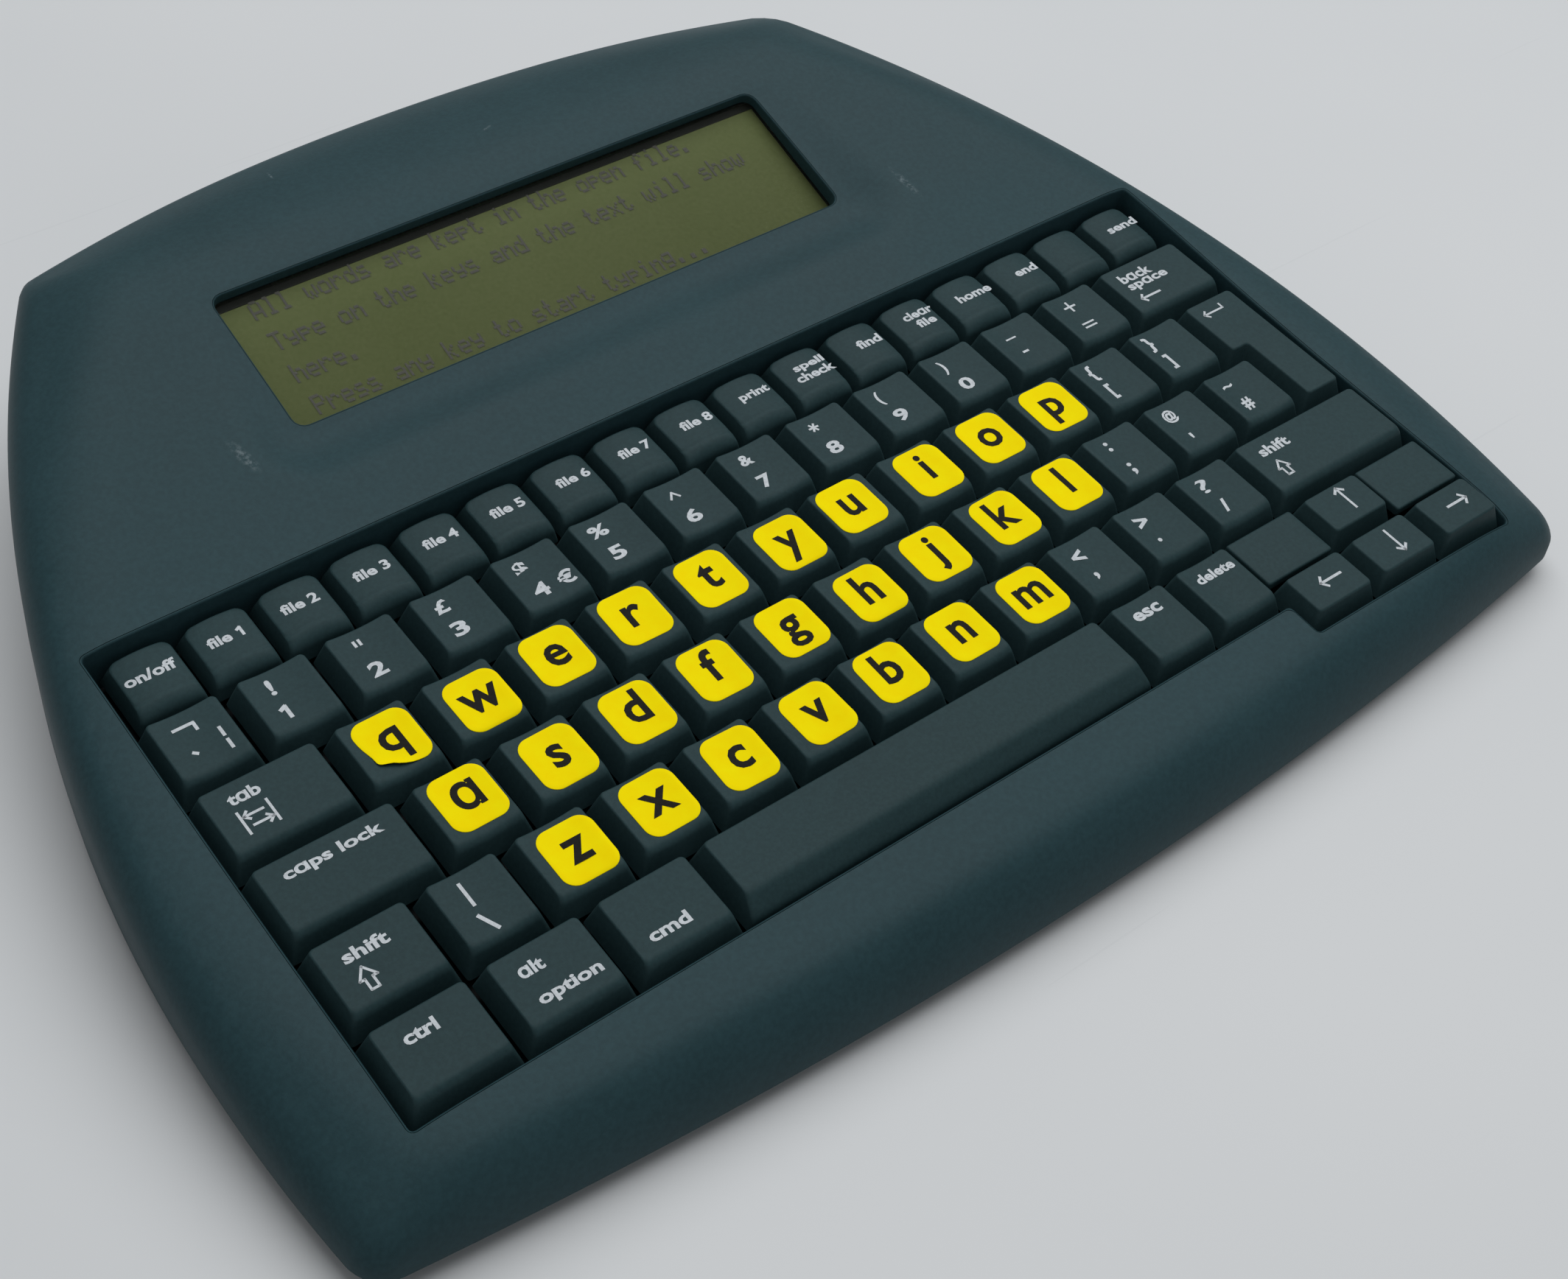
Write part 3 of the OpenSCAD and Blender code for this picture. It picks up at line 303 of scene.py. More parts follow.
def add_scuffs(look, spots):
    """Small pale rubs on the deck: place in plan, length, width in metres, angle."""
    base = look.shader.inputs["Base Color"].links[0].from_socket
    total = None
    for place, length, width, angle in spots:
        near = look.node("Mapping", {
            "Vector": look.coords, "Location": (*place, 0), "Scale": (length, width, 1),
            "Rotation": (0, 0, math.radians(angle))}, vector_type="TEXTURE").outputs["Vector"]
        d = look.node("VectorMath", {0: near}, operation="LENGTH").outputs["Value"]
        spot = look.remap(d, 1.0, 0.2, 0.0, 1.0)
        total = spot if total is None else look.math("MAXIMUM", total, spot)
    broken = look.remap(look.noise(900, 3, 0.7), 0.45, 0.66, 0.0, 1.0)
    worn = look.math("MULTIPLY", look.math("MULTIPLY", total, broken), 0.55)
    look.put("Base Color", look.mix(worn, base, (0.22, 0.27, 0.29)))


def ink_material(name, color, rough, spread):
    look = Look(name, color, rough, 0.1)
    grain = look.noise(1500, 2, 0.7)
    look.tint(grain, scaled(color, 1 - spread), scaled(color, 1 + spread), 0.35, 0.65)
    look.bump(grain, 0.15, 0.00002)
    return look.mat


def metal_material(name, color, rough, stretch=(1, 1, 1)):
    look = Look(name, color, rough, 0.5, 1.0, stretch)
    grain = look.noise(420, 4, 0.7)
    look.tint(grain, scaled(color, 0.8), color)
    look.put("Roughness", look.remap(grain, 0.3, 0.7, rough - 0.06, rough + 0.1))
    look.bump(grain, 0.08, 0.00005)
    return look.mat


def grained(name, color, rough, scale, strength):
    look = Look(name, color, rough)
    grain = look.noise(scale, 3, 0.6)
    look.tint(grain, scaled(color, 0.88), scaled(color, 1.12))
    look.bump(grain, strength, 0.00006)
    return look.mat


def sticker_material():
    look = Look("sticker_vinyl", (0.98, 0.76, 0.0), 0.55, 0.02)
    look.tint(look.noise(260, 3, 0.6), (1.0, 0.76, 0.0), (1.0, 0.83, 0.001), 0.3, 0.75)
    look.bump(look.noise(900, 2), 0.12, 0.00004)
    return look.mat


def board_material():
    look = Look("board_mask", (0.02, 0.12, 0.06), 0.35)
    brick = look.node("TexBrick", {
        "Vector": look.coords, "Scale": 230.0, "Mortar Size": 0.05,
        "Color1": (0.015, 0.105, 0.05), "Color2": (0.02, 0.13, 0.06),
        "Mortar": (0.05, 0.22, 0.10)})
    look.put("Base Color", brick.outputs["Color"])
    look.bump(brick.outputs["Fac"], 0.3, 0.00004)
    return look.mat


def glass_material():
    look = Look("window_glass", (0.30, 0.33, 0.26), 0.08, 0.3)
    look.put("Alpha", 0.025)
    look.put("IOR", 1.46)
    look.put("Roughness", look.remap(look.noise(35, 4, 0.65), 0.35, 0.75, 0.05, 0.16))
    return look.mat


def panel_material():
    """Reflective olive display with a fine, slightly cloudy grain."""
    look = Look("display_olive", (0.080, 0.095, 0.034), 0.42, 0.04)
    grain = look.noise(1100, 3, 0.7)
    fine = look.ramp(grain, (0.084, 0.104, 0.030), (0.122, 0.143, 0.056))
    wide = look.ramp(look.noise(18, 3, 0.5), (0.090, 0.109, 0.034), (0.110, 0.129, 0.047))
    look.put("Base Color", look.mix(0.45, wide, fine))
    look.bump(grain, 0.10, 0.00003)
    return look.mat


def dots_material(name, alpha):
    look = Look(name, (0.022, 0.020, 0.010), 0.5)
    look.put("Alpha", alpha)
    look.tint(look.noise(700, 2), (0.018, 0.016, 0.008), (0.028, 0.026, 0.012))
    return look.mat


CASE = (0.0205, 0.0505, 0.0590)
case_look = moulded("case_plastic", CASE, 0.46)
add_scuffs(case_look, [
    ((-0.0881, 0.0384), 0.0055, 0.0017, 100), ((-0.0403, 0.1086), 0.0024, 0.0004, 80),
    ((0.0097, 0.0958), 0.0020, 0.0005, 20), ((0.0892, 0.0374), 0.0060, 0.0012, 95)])
case_mat = case_look.mat
key_mat = moulded("key_plastic", (0.0215, 0.0460, 0.0505), 0.44, 2100.0, 0.2, 0.09).mat
sticker_mat = sticker_material()
letter_mat = ink_material("sticker_ink", (0.010, 0.009, 0.007), 0.6, 0.25)
legend_mat = ink_material("legend_ink", (0.58, 0.61, 0.64), 0.5, 0.10)

NODE_LOOKS = [
    (case_mat, "top_shell"),
    (moulded("lower_plastic", scaled(CASE, 0.92), 0.5).mat, "bottom_shell battery_door"),
    (moulded("guide_plastic", (0.010, 0.012, 0.013), 0.6).mat, "key_frame"),
    (glass_material(), "display_window"),
    (panel_material(), "display_panel"),
    (board_material(), "display_board main_board"),
    (metal_material("plated_sheet", (0.56, 0.57, 0.58), 0.32, (1, 12, 1)), "base_plate"),
    # The display frame is near black as a painted shadow: its lip under the window's back edge
    # shows as shade.
    (metal_material("frame_painted_shadow", (0.010, 0.011, 0.011), 0.6), "display_frame"),
    (metal_material("screw_steel", (0.42, 0.42, 0.44), 0.35), "case_screws"),
    (metal_material("nickel_plating", (0.66, 0.65, 0.62), 0.24),
     "usb_host_socket usb_device_socket battery_contacts backup_cell space_bar_wire"),
    (grained("polyester_film", (0.60, 0.55, 0.38), 0.35, 180, 0.1), "display_ribbon contact_film"),
    (grained("silicone_sheet", (0.35, 0.37, 0.38), 0.6, 600, 0.2), "dome_sheet"),
    (grained("socket_plastic", (0.012, 0.012, 0.013), 0.45, 900, 0.2), "power_socket"),
    (grained("infrared_filter", (0.020, 0.004, 0.008), 0.12, 60, 0.02), "infrared_window"),
    (grained("cell_wrap", (0.05, 0.05, 0.06), 0.3, 140, 0.05), "battery_cells"),
    (grained("foot_rubber", (0.010, 0.010, 0.011), 0.75, 1200, 0.4), "rubber_feet"),
]
node_mats = {name: mat for mat, names in NODE_LOOKS for name in names.split()}
for name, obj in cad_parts.items():
    obj.data.materials.clear()
    obj.data.materials.append(node_mats.get(name, key_mat))

# The form of the shell
BLEND_SIDES, BLEND_FRONT, BLEND_BACK = 3.0, 5.0, 1.6
BLEND_RIDGE, BLEND_DECK, BLEND_SCOOP_BACK, BLEND_SCOOP = 1.6, 2.6, 4.0, 3.2


def circle_through(*points):
    p = np.array(points)
    x, y, _ = np.linalg.solve(np.column_stack([2 * p, np.ones(3)]), (p ** 2).sum(1))
    return x, y, math.hypot(p[0, 0] - x, p[0, 1] - y)


def arc_of(p, q, bow):
    """Centre and radius of the arc from p to q that bows out by bow."""
    p, q = np.array(p), np.array(q)
    chord = np.linalg.norm(q - p)
    r = (chord ** 2 / 4 + bow ** 2) / (2 * bow)
    along = (q - p) / chord
    return (p + q) / 2 + np.array([-along[1], along[0]]) * (r - bow), r


CORNERS = [(-BACK_HALF, BACK_CORNER_Y), (BACK_HALF, BACK_CORNER_Y),
           (FRONT_HALF, FRONT_CORNER_Y), (-FRONT_HALF, FRONT_CORNER_Y)]
BACK, RIGHT, FRONT, LEFT = range(4)
ARCS = [arc_of(CORNERS[(i + 1) % 4], CORNERS[i], bow)
        for i, bow in enumerate((BACK_BOW, SIDE_BOW, FRONT_BOW, SIDE_BOW))]
# Each side's rim: its roll's radius and end, the slope beyond, and how much higher it lies
SIDE_RIM = (RIM_ROLL, 65, 22, 0.0)
RIMS = [(BACK_ROLL, 55, 33, -3.0), SIDE_RIM, (FRONT_ROLL, 84, 3, 0.0), SIDE_RIM]
deck_circle = circle_through((CLUSTER_FRONT, DECK_FRONT), (KB_BACK + WELL_GAP, DECK_BACK),
                             (RIDGE_Y, RIDGE_RISE))
fall_centre = (RIDGE_Y + FALL_LEAD, RIDGE_RISE - math.sqrt(FALL_R ** 2 - FALL_LEAD ** 2))


def fillet(i, j, near, r):
    """The circle of radius r inside arcs i and j, near a corner point."""
    (a, ra), (b, rb) = ARCS[i], ARCS[j]
    ra, rb = ra - r, rb - r
    d = np.linalg.norm(b - a)
    along = (ra ** 2 - rb ** 2 + d ** 2) / (2 * d)
    across = math.sqrt(ra ** 2 - along ** 2)
    e = (b - a) / d
    found = [a + e * along + s * np.array([-e[1], e[0]]) * across for s in (1, -1)]
    c = min(found, key=lambda p: np.linalg.norm(p - near))
    return c, r, unit(c - a), unit(c - b)


FILLETS = [fillet(i, j, CORNERS[k], r) for i, j, k, r in (
    (FRONT, RIGHT, 2, FRONT_CORNER_R), (RIGHT, BACK, 1, BACK_CORNER_R),
    (BACK, LEFT, 0, BACK_CORNER_R), (LEFT, FRONT, 3, FRONT_CORNER_R))]


def smax(a, b, k):
    h = np.maximum(k - np.abs(a - b), 0) / k
    return np.maximum(a, b) + h * h * k / 4


def rim_distance(i, p):
    (centre, radius), (r, turn, rise, lift) = ARCS[i], RIMS[i]
    turn, rise = math.radians(turn), math.radians(rise)
    d = radius - np.hypot(p[:, 0] - centre[0], p[:, 1] - centre[1])
    h = p[:, 2] - RIM_Z - p[:, 1] * math.tan(RIM_TILT) - lift
    e = r - d
    round_part = np.hypot(e, h) - r
    line = ((e - r * math.cos(turn)) * math.sin(rise)
            + (h - r * math.sin(turn)) * math.cos(rise))
    return np.where(h <= 0, -d, np.where(np.arctan2(h, e) <= turn, round_part, line))


def shell_distance(p):
    """About the distance to the shell's outer surface, negative inside."""
    k = world_to_keys(p)
    f = smax(rim_distance(RIGHT, p), rim_distance(LEFT, p), BLEND_SIDES)
    f = smax(f, rim_distance(FRONT, p), BLEND_FRONT)
    f = smax(f, rim_distance(BACK, p), BLEND_BACK)
    deck = deck_circle[2] - np.hypot(k[:, 1] - deck_circle[0], k[:, 2] - deck_circle[1])
    y, z = k[:, 1] - fall_centre[0], k[:, 2] - fall_centre[1]
    fall = np.where(y > 0, np.hypot(y, z), z) - FALL_R
    f = smax(f, smax(deck, fall, BLEND_RIDGE), BLEND_DECK)
    for c, r, na, nb in FILLETS:
        q = p[:, :2] - c
        det = na[0] * nb[1] - na[1] * nb[0]
        alpha = (q[:, 0] * nb[1] - q[:, 1] * nb[0]) / det
        beta = (na[0] * q[:, 1] - na[1] * q[:, 0]) / det
        inside = (alpha > 0) & (beta > 0)
        f = np.maximum(f, np.where(inside, np.hypot(q[:, 0], q[:, 1]) - r, -100))
    w = keys_to_window(k)
    dx = np.maximum(np.abs(w[:, 0]) - OPENING[1], 0)
    dy = np.maximum(OPENING[2] - w[:, 1], 0)
    trough = np.hypot(np.hypot(dx, dy), w[:, 2] - SCOOP_R) - SCOOP_R
    return smax(f, -smax(trough, w[:, 1] - OPENING[3], BLEND_SCOOP_BACK), BLEND_SCOOP)


def solve(base, direction, low, high):
    """Where the lines base + t * direction leave the shell."""
    base, direction = arr(base), arr(direction)
    lo = np.full(len(base), float(low))
    hi = np.full(len(base), float(high))
    for _ in range(42):
        mid = (lo + hi) / 2
        inside = shell_distance(base + direction * mid[:, None]) < 0
        lo = np.where(inside, mid, lo)
        hi = np.where(inside, hi, mid)
    return base + direction * lo[:, None]


def solve_up(xy):
    return solve(at_height(xy, 0.0), (0, 0, 1), 0, 70)


def surface_normals(p, step=0.02):
    out = np.zeros_like(p)
    for axis in range(3):
        d = np.zeros(3)
        d[axis] = step
        out[:, axis] = shell_distance(p + d) - shell_distance(p - d)
    return out / np.maximum(np.linalg.norm(out, axis=1, keepdims=True), 1e-9)


# The ports in the back: left, right, lower and upper edge
PORTS = [(x - half, x + half, BOARD_TOP - 0.3, BOARD_TOP + height) for x, half, height in
         ((22, 6.3, 11.3), (44, 7.55, 7.3), (66, 4.8, 11.3), (-34, 10.3, 9.3))]
COLUMN_STEP, PORT_CLEAR, FILLET_STEPS = 3.2, 1.2, 9


def outline_columns():
    """Points round the outline, their inward directions, and which lie in the back."""
    edges = [x for port in PORTS for x in port[:2]]
    points, inward, is_back = [], [], []
    for after, side in enumerate((FRONT, RIGHT, BACK, LEFT)):
        centre, radius = ARCS[side]
        c, r, na, nb = FILLETS[after]
        t0, t1 = bearing(FILLETS[after - 1][0] - centre), bearing(c - centre)
        turn = (t1 - t0) % (2 * math.pi)
        count = max(2, int(radius * turn / COLUMN_STEP))
        angles = [t0 + turn * i / count for i in range(count + 1)]
        if side == BACK:
            special = [math.acos((x - centre[0]) / radius) for x in edges]
            angles = sorted(special + [
                t for t in angles if min(abs(t - s) for s in special) * radius > PORT_CLEAR])
        turn = (bearing(nb) - bearing(na)) % (2 * math.pi)
        bend = [bearing(na) + turn * k / FILLET_STEPS for k in range(1, FILLET_STEPS)]
        for middle, size, turns in ((centre, radius, angles), (c, r, bend)):
            for t in turns:
                points.append(middle + polar(t) * size)
                inward.append(-polar(t))
                is_back.append(side == BACK and turns is angles)
    return np.array(points), np.array(inward), is_back


def well_corners(grow):
    g = WELL_GAP + grow
    x0, x1 = -KB_HALF - g, KB_HALF + g
    return [(x0, KB_FRONT - g), (CLUSTER_X - g, KB_FRONT - g), (CLUSTER_X - g, CLUSTER_FRONT - g),
            (x1, CLUSTER_FRONT - g), (x1, KB_BACK + g), (x0, KB_BACK + g)]


def window_corners(grow):
    x0, x1, y0, y1 = OPENING
    return rectangle(x0 - grow, y0 - grow, x1 + grow, y1 + grow)


def inside_polygon(points, poly):
    x, y = points[:, 0], points[:, 1]
    inside = np.zeros(len(points), bool)
    for (a, b), (c, d) in zip(poly, np.roll(poly, -1, 0)):
        if b != d:
            inside ^= ((b > y) != (d > y)) & (x < (c - a) * (y - b) / (d - b) + a)
    return inside


# How far in the seam's two lips lie, and the height of the step over it
SEAM_DEPTH, SEAM_LIP, SEAM_STEP = 1.6, 0.25, 0.25
RIM_INSETS = (0.12, 0.5, 1.1, 1.9, 2.8, 3.8, 4.8)
PORT_DEPTH = 2.6
LIP_TURNS = (0, 22, 45, 68, 90)
GRID_X, GRID_Y, GRID_STEP, GRID_ROW, GRID_CLEAR = 165, 128, 2.6, 2.25, 1.5


def add_rim(build):
    """The seam, the walls with their ports, and the rolled rim. Returns its innermost ring."""
    cols, inward, is_back = outline_columns()
    n = len(cols)
    seam = SEAM_Z + cols[:, 1] * math.tan(SEAM_TILT)
    low = seam + SEAM_STEP
    top = np.maximum(RIM_Z + cols[:, 1] * math.tan(RIM_TILT) - 3.0, seam + 0.3)
    back_top = top[is_back.index(True)]
    rows = [np.column_stack([cols + inward * SEAM_DEPTH, seam]),
            np.column_stack([cols + inward * SEAM_LIP, seam]), np.column_stack([cols, low])]
    for level in sorted({z for port in PORTS for z in port[2:]}):
        share = (level - seam.max()) / (back_top - seam.max())
        z = np.where(is_back, level, low + (top - low) * share)
        rows.append(np.column_stack([cols, z]))
    rows.append(np.column_stack([cols, top]))
    wall_rows = len(rows)
    for d in RIM_INSETS:
        row = solve_up(cols + inward * d)
        row[:, 2] = np.maximum(row[:, 2], top + 0.1 * d)
        rows.append(row)
    for row in rows:
        build.points += row.tolist()
    for k in range(len(rows) - 1):
        for i in range(n):
            j = (i + 1) % n
            if is_back[i] and is_back[j] and k < wall_rows - 1:
                x = (cols[i][0] + cols[j][0]) / 2
                z = (rows[k][i][2] + rows[k + 1][i][2]) / 2
                if any(a < x < b and c < z < d for a, b, c, d in PORTS):
                    continue
            a, b = k * n, (k + 1) * n
            build.faces.append((a + i, a + j, b + j, b + i))
    build.shade(2 * n, np.vstack(rows[2:]))
    return rows[-1]


def add_port_walls(build):
    centre, r = ARCS[BACK]
    for x0, x1, z0, z1 in PORTS:
        y0, y1 = (centre[1] + math.sqrt(r * r - x * x) for x in (x0, x1))
        loop = [(x0, y0, z0), (x1, y1, z0), (x1, y1, z1), (x0, y0, z1)]
        build.loft([[(x, y - PORT_DEPTH, z) for x, y, z in loop], loop])


def add_opening(build, corners_of, to_world, tilt, radius, lip, depth, draft):
    """The rounded lip and the walls of an opening. Returns the ring that meets the deck."""
    up = np.array((0, -math.sin(tilt), math.cos(tilt)))

    def ring_at(grow, counts=None):
        corners = corners_of(grow)
        return rounded(corners, [radius + grow] * len(corners), 4, 2.4, counts)

    outer, counts = ring_at(lip)
    start = to_world(at_height(outer, 0.0))
    height = (solve(start, up, -12, 40) - start) @ up
    rings = []
    for a in LIP_TURNS:
        t = math.radians(a)
        ring = ring_at(lip * (1 - math.sin(t)), counts)[0]
        rings.append(to_world(np.column_stack([ring, height - lip * (1 - math.cos(t))])))
    ring = ring_at(0, counts)[0]
    ring[:, 1] -= draft * (ring[:, 1] > ring[:, 1].max() - radius)
    rings.append(to_world(at_height(ring, depth)))
    first = len(build.points)
    build.loft(rings[::-1])
    build.shade(first + (len(rings) - 1) * len(ring), rings[0])
    return rings[0]


def add_deck(build, rings):
    """Triangles between the rim and the openings, whose rings it is given."""
    flat_rings = [ring[:, :2] for ring in rings]

    def on_deck(points):
        rim, well, window = (inside_polygon(points, ring) for ring in flat_rings)
        return rim & ~well & ~window

    xs = np.arange(-GRID_X, GRID_X, GRID_STEP)
    ys = np.arange(-GRID_Y, GRID_Y, GRID_ROW)
    grid = np.array([(x + (GRID_STEP / 2 if j % 2 else 0), y)
                     for j, y in enumerate(ys) for x in xs])
    grid = grid[on_deck(grid)]
    for ring in flat_rings:
        near = np.min([np.hypot(*(grid - p).T) for p in ring], 0)
        grid = grid[near > GRID_CLEAR]
    edges, start = [], 0
    for m in map(len, rings):
        edges += [(start + i, start + (i + 1) % m) for i in range(m)]
        start += m
    flat = [Vector(p) for p in np.vstack([*flat_rings, grid])]
    found = geometry.delaunay_2d_cdt(flat, edges, [], 0, 1e-6)
    verts = np.array([tuple(v) for v in found[0]])
    known = np.vstack(rings)
    points = solve_up(verts)
    for i, source in enumerate(found[3]):
        if source and source[0] < len(known):
            points[i] = known[source[0]]
    faces = np.array([f for f in found[2] if len(f) == 3])
    first = len(build.points)
    build.add(points, faces[on_deck(verts[faces].mean(1))].tolist())
    build.shade(first, points)


build = Build()
rim = add_rim(build)
add_port_walls(build)
well = add_opening(build, well_corners, keys_to_world, TILT, radius=0.9, lip=0.55,
                   depth=WELL_FLOOR, draft=0.0)
window = add_opening(build, window_corners, window_to_world, TILT + WINDOW_TILT, radius=2.6,
                     lip=0.45, depth=0.03 - WINDOW_DEPTH, draft=0.2)
add_deck(build, [rim, well, window])
normals = np.zeros((len(build.points), 3))
for i, normal in build.normals.items():
    normals[i] = normal
shell = make_object("shell_upper", build, "case", case_mat, normals)
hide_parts("top_shell")


# Keys
def unit_cell(left, row, width=1.0):
    return (left * U - KB_HALF, (left + width) * U - KB_HALF, (row - 0.5) * U, (row + 0.5) * U)


def cluster_cell(column, row):
    w = (KB_HALF - CLUSTER_X) / 3
    return (CLUSTER_X + column * w, CLUSTER_X + (column + 1) * w,
            CLUSTER_BACK - (row + 1) * ARROW_DEPTH, CLUSTER_BACK - row * ARROW_DEPTH)


# Kinds of cap: dish and wide have a rolled front lip, dish is hollowed, crown is domed, flat
# is plain and bar is the space bar. A cell is its left, right, front and back.
SIDE_LEAN, FRONT_LEAN, BACK_LEAN = 1.9, 1.9, 0.9
CROWN_SIDE_LEAN, CROWN_BACK_LEAN = 1.2, 1.1
CROWN_SILL, CROWN_SILL_Z, CROWN_RUN, CROWN_SPAN = 0.5, -1.9, 4.7, 3.45
CROWN_LOW, CROWN_HALF, CROWN_EDGE, GROOVE, GROOVE_HALF = 0.3, 8, 3.9, 0.2, 0.5
DISH, DISH_HALF = 0.6, 6.55
EDGE_R, LIP_R, FLAT_LIP_R = 0.45, 2.2, 0.6
ROLLED = ("dish", "wide")
LEVELS = [SKIRT, SKIRT + 0.25, -3.0, -2.3, -1.8, -1.3, -0.7, -0.2, 0.15, 0.4, 0.6, 0.78, 0.92,
          1.04, 1.14, 1.22, 1.28, 1.33, 1.365, 1.386, 1.397, RISE]
TOP_INSETS = (0.08, 0.35, 0.9, 1.7, 2.7, 3.7, 4.7, 5.5)
CAP_WALL, ROOF_SIDE, ROOF_BACK, ROOF_T, STEM_TOP = 1.1, 2.7, 2.0, 1.9, 1.7
ROOF_FRONT = {"bar": 4.2, "flat": 2.6, "dish": 3.5, "wide": 3.5, "crown": 3.5}
STEM_R, STEM_BOTTOM, STEM_SIDES = 2.5, -9.0, 20


def side_inset(z, lean, r):
    """How far a key's side has come in at height z, with its top edge rounded."""
    turn = math.atan2(RISE - SKIRT, lean)
    if z <= RISE - r * (1 - math.cos(turn)):
        return lean * (z - SKIRT) / (RISE - SKIRT)
    return lean + r * math.tan(turn / 2) - math.sqrt(max(0.0, r * r - (z - RISE + r) ** 2))


def bar_inset(z):
    """The space bar's front: nearly upright, then one long slope that rolls over."""
    lean, bend_z, slope, r, soft = 0.22 / 2.6, -1.8, 3.9 / 3.2, 3.6, 0.32
    turn = math.atan2(1, slope)
    roll = r * (1 - math.cos(turn))
    low = min(z, RISE - roll)
    w = lean * (low - SKIRT) + slope * soft * math.log(1 + math.exp((low - bend_z) / soft))
    if z > RISE - roll:
        w += r * math.sin(turn) - math.sqrt(max(0.0, r * r - (z - RISE + r) ** 2))
    return w


def front_inset(kind, z):
    if kind == "bar":
        return bar_inset(z)
    if kind != "crown":
        return side_inset(z, FRONT_LEAN, LIP_R if kind in ROLLED else FLAT_LIP_R)
    if z < CROWN_SILL_Z:
        return CROWN_SILL * (z - SKIRT) / (CROWN_SILL_Z - SKIRT)
    over = (z - CROWN_SILL_Z) / CROWN_SPAN
    return CROWN_SILL + CROWN_RUN * (1 - math.sqrt(1 - over ** 2))


def lip_drop(kind, y, c):
    """How far the rolled front lip has dropped at y."""
    if kind not in ROLLED:
        return 0.0
    turn = math.atan2(RISE - SKIRT, FRONT_LEAN)
    start = c[2] + GAP / 2 + FRONT_LEAN + LIP_R * math.tan(turn / 2)
    d = min(max(0.0, start - y), LIP_R * 0.7)
    return LIP_R - math.sqrt(LIP_R * LIP_R - d * d)


def top_drop(kind, x, y, c):
    """How far the key's top lies below its flat top plane, x from the key's middle."""
    if kind == "dish":
        return DISH * max(0.0, 1 - (x / DISH_HALF) ** 2) ** 1.1
    if kind == "crown":
        groove = GROOVE * math.exp(-((y - c[2] - GAP / 2 - CROWN_EDGE) / GROOVE_HALF) ** 2)
        return CROWN_LOW + CROWN_R - math.sqrt(CROWN_R ** 2 - min(abs(x), CROWN_HALF) ** 2) + groove
    return 0.0


def key_rings(kind, c, cells=None):
    half, mid = GAP / 2, (c[0] + c[1]) / 2
    crown = kind == "crown"
    rings, counts = [], None
    for z in LEVELS:
        wx = half + side_inset(z, CROWN_SIDE_LEAN if crown else SIDE_LEAN, EDGE_R)
        wb = half + side_inset(z, CROWN_BACK_LEAN if crown else BACK_LEAN, EDGE_R)
        wf = half + front_inset(kind, z)
        s = (z - SKIRT) / (RISE - SKIRT)
        r_front = 0.7 + 0.3 * s
        r_back = 0.6 + (1.4 if crown else 0.5) * s
        if cells is None:
            poly = rectangle(c[0] + wx, c[2] + wf, c[1] - wx, c[3] - wb)
            radii = [r_front, r_front, r_back, r_back]
        else:
            a, b = cells
            poly = [(a[0] + wx, a[2] + wf), (a[1] - wx, a[2] + wf), (a[1] - wx, a[3] - wb),
                    (b[0] + wx, a[3] - wb), (b[0] + wx, b[2] + wf), (a[0] + wx, b[2] + wf)]
            radii = [r_front, r_front, r_back, r_back, r_front, 0.7]
        ring, counts = rounded(poly, radii, 5, 2.2 if c[1] - c[0] < 30 else 5.0, counts)
        drops = [s * s * top_drop(kind, x - mid, y, c) for x, y in ring]
        rings.append(np.column_stack([ring, z - np.array(drops)]))
    if cells is None:
        top = rings[-1][:, :2]
        centre = (top.min(0) + top.max(0)) / 2
        size = np.ptp(top, 0) / 2
        for inset in (d for d in TOP_INSETS if d <= min(size) - 0.4):
            xy = (top - centre) * (1 - inset / size) + centre
            z = [RISE - top_drop(kind, x - mid, y, c) for x, y in xy]
            rings.append(np.column_stack([xy, z]))
    return rings


def plunger(build, x, y):
    ring = np.array([polar(2 * math.pi * i / STEM_SIDES) for i in range(STEM_SIDES)])
    ring = ring * STEM_R + (x, y)
    build.loft([at_height(ring, STEM_BOTTOM), at_height(ring, RISE - STEM_TOP)], floor=True)


def add_key(build, kind, c, cells=None, stems=None):
    """One cap with its skirt, its roof inside and its plungers."""
    local = Build()
    rings = key_rings(kind, c, cells)
    local.loft(rings, "face" if cells else "fan")
    skirt = rings[0]
    width, depth = c[1] - c[0], c[3] - c[2]
    centre = skirt[:, :2].mean(0)
    out = skirt[:, :2] - centre
    inner, roof = skirt.copy(), at_height(skirt[:, :2], RISE - ROOF_T)
    inner[:, :2] = centre + out * (1 - 2 * CAP_WALL / np.array([width, depth]))
    roof[:, 0] = centre[0] + out[:, 0] * (1 - 2 * ROOF_SIDE / width)
    roof[:, 1] = centre[1] + out[:, 1] * np.where(
        out[:, 1] > 0, 1 - 2 * ROOF_BACK / depth, 1 - 2 * ROOF_FRONT[kind] / depth)
    if cells:
        local.loft([inner, skirt])
    else:
        local.loft([roof, inner, skirt], floor=True)
    for x, y in stems or [((c[0] + c[1]) / 2, (c[2] + c[3]) / 2)]:
        plunger(local, x, y)
    build.add(keys_to_world(local.points), local.faces)


def make_cap(name, build):
    cap = make_object("cap_" + name, build, name, key_mat)
    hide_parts(name)


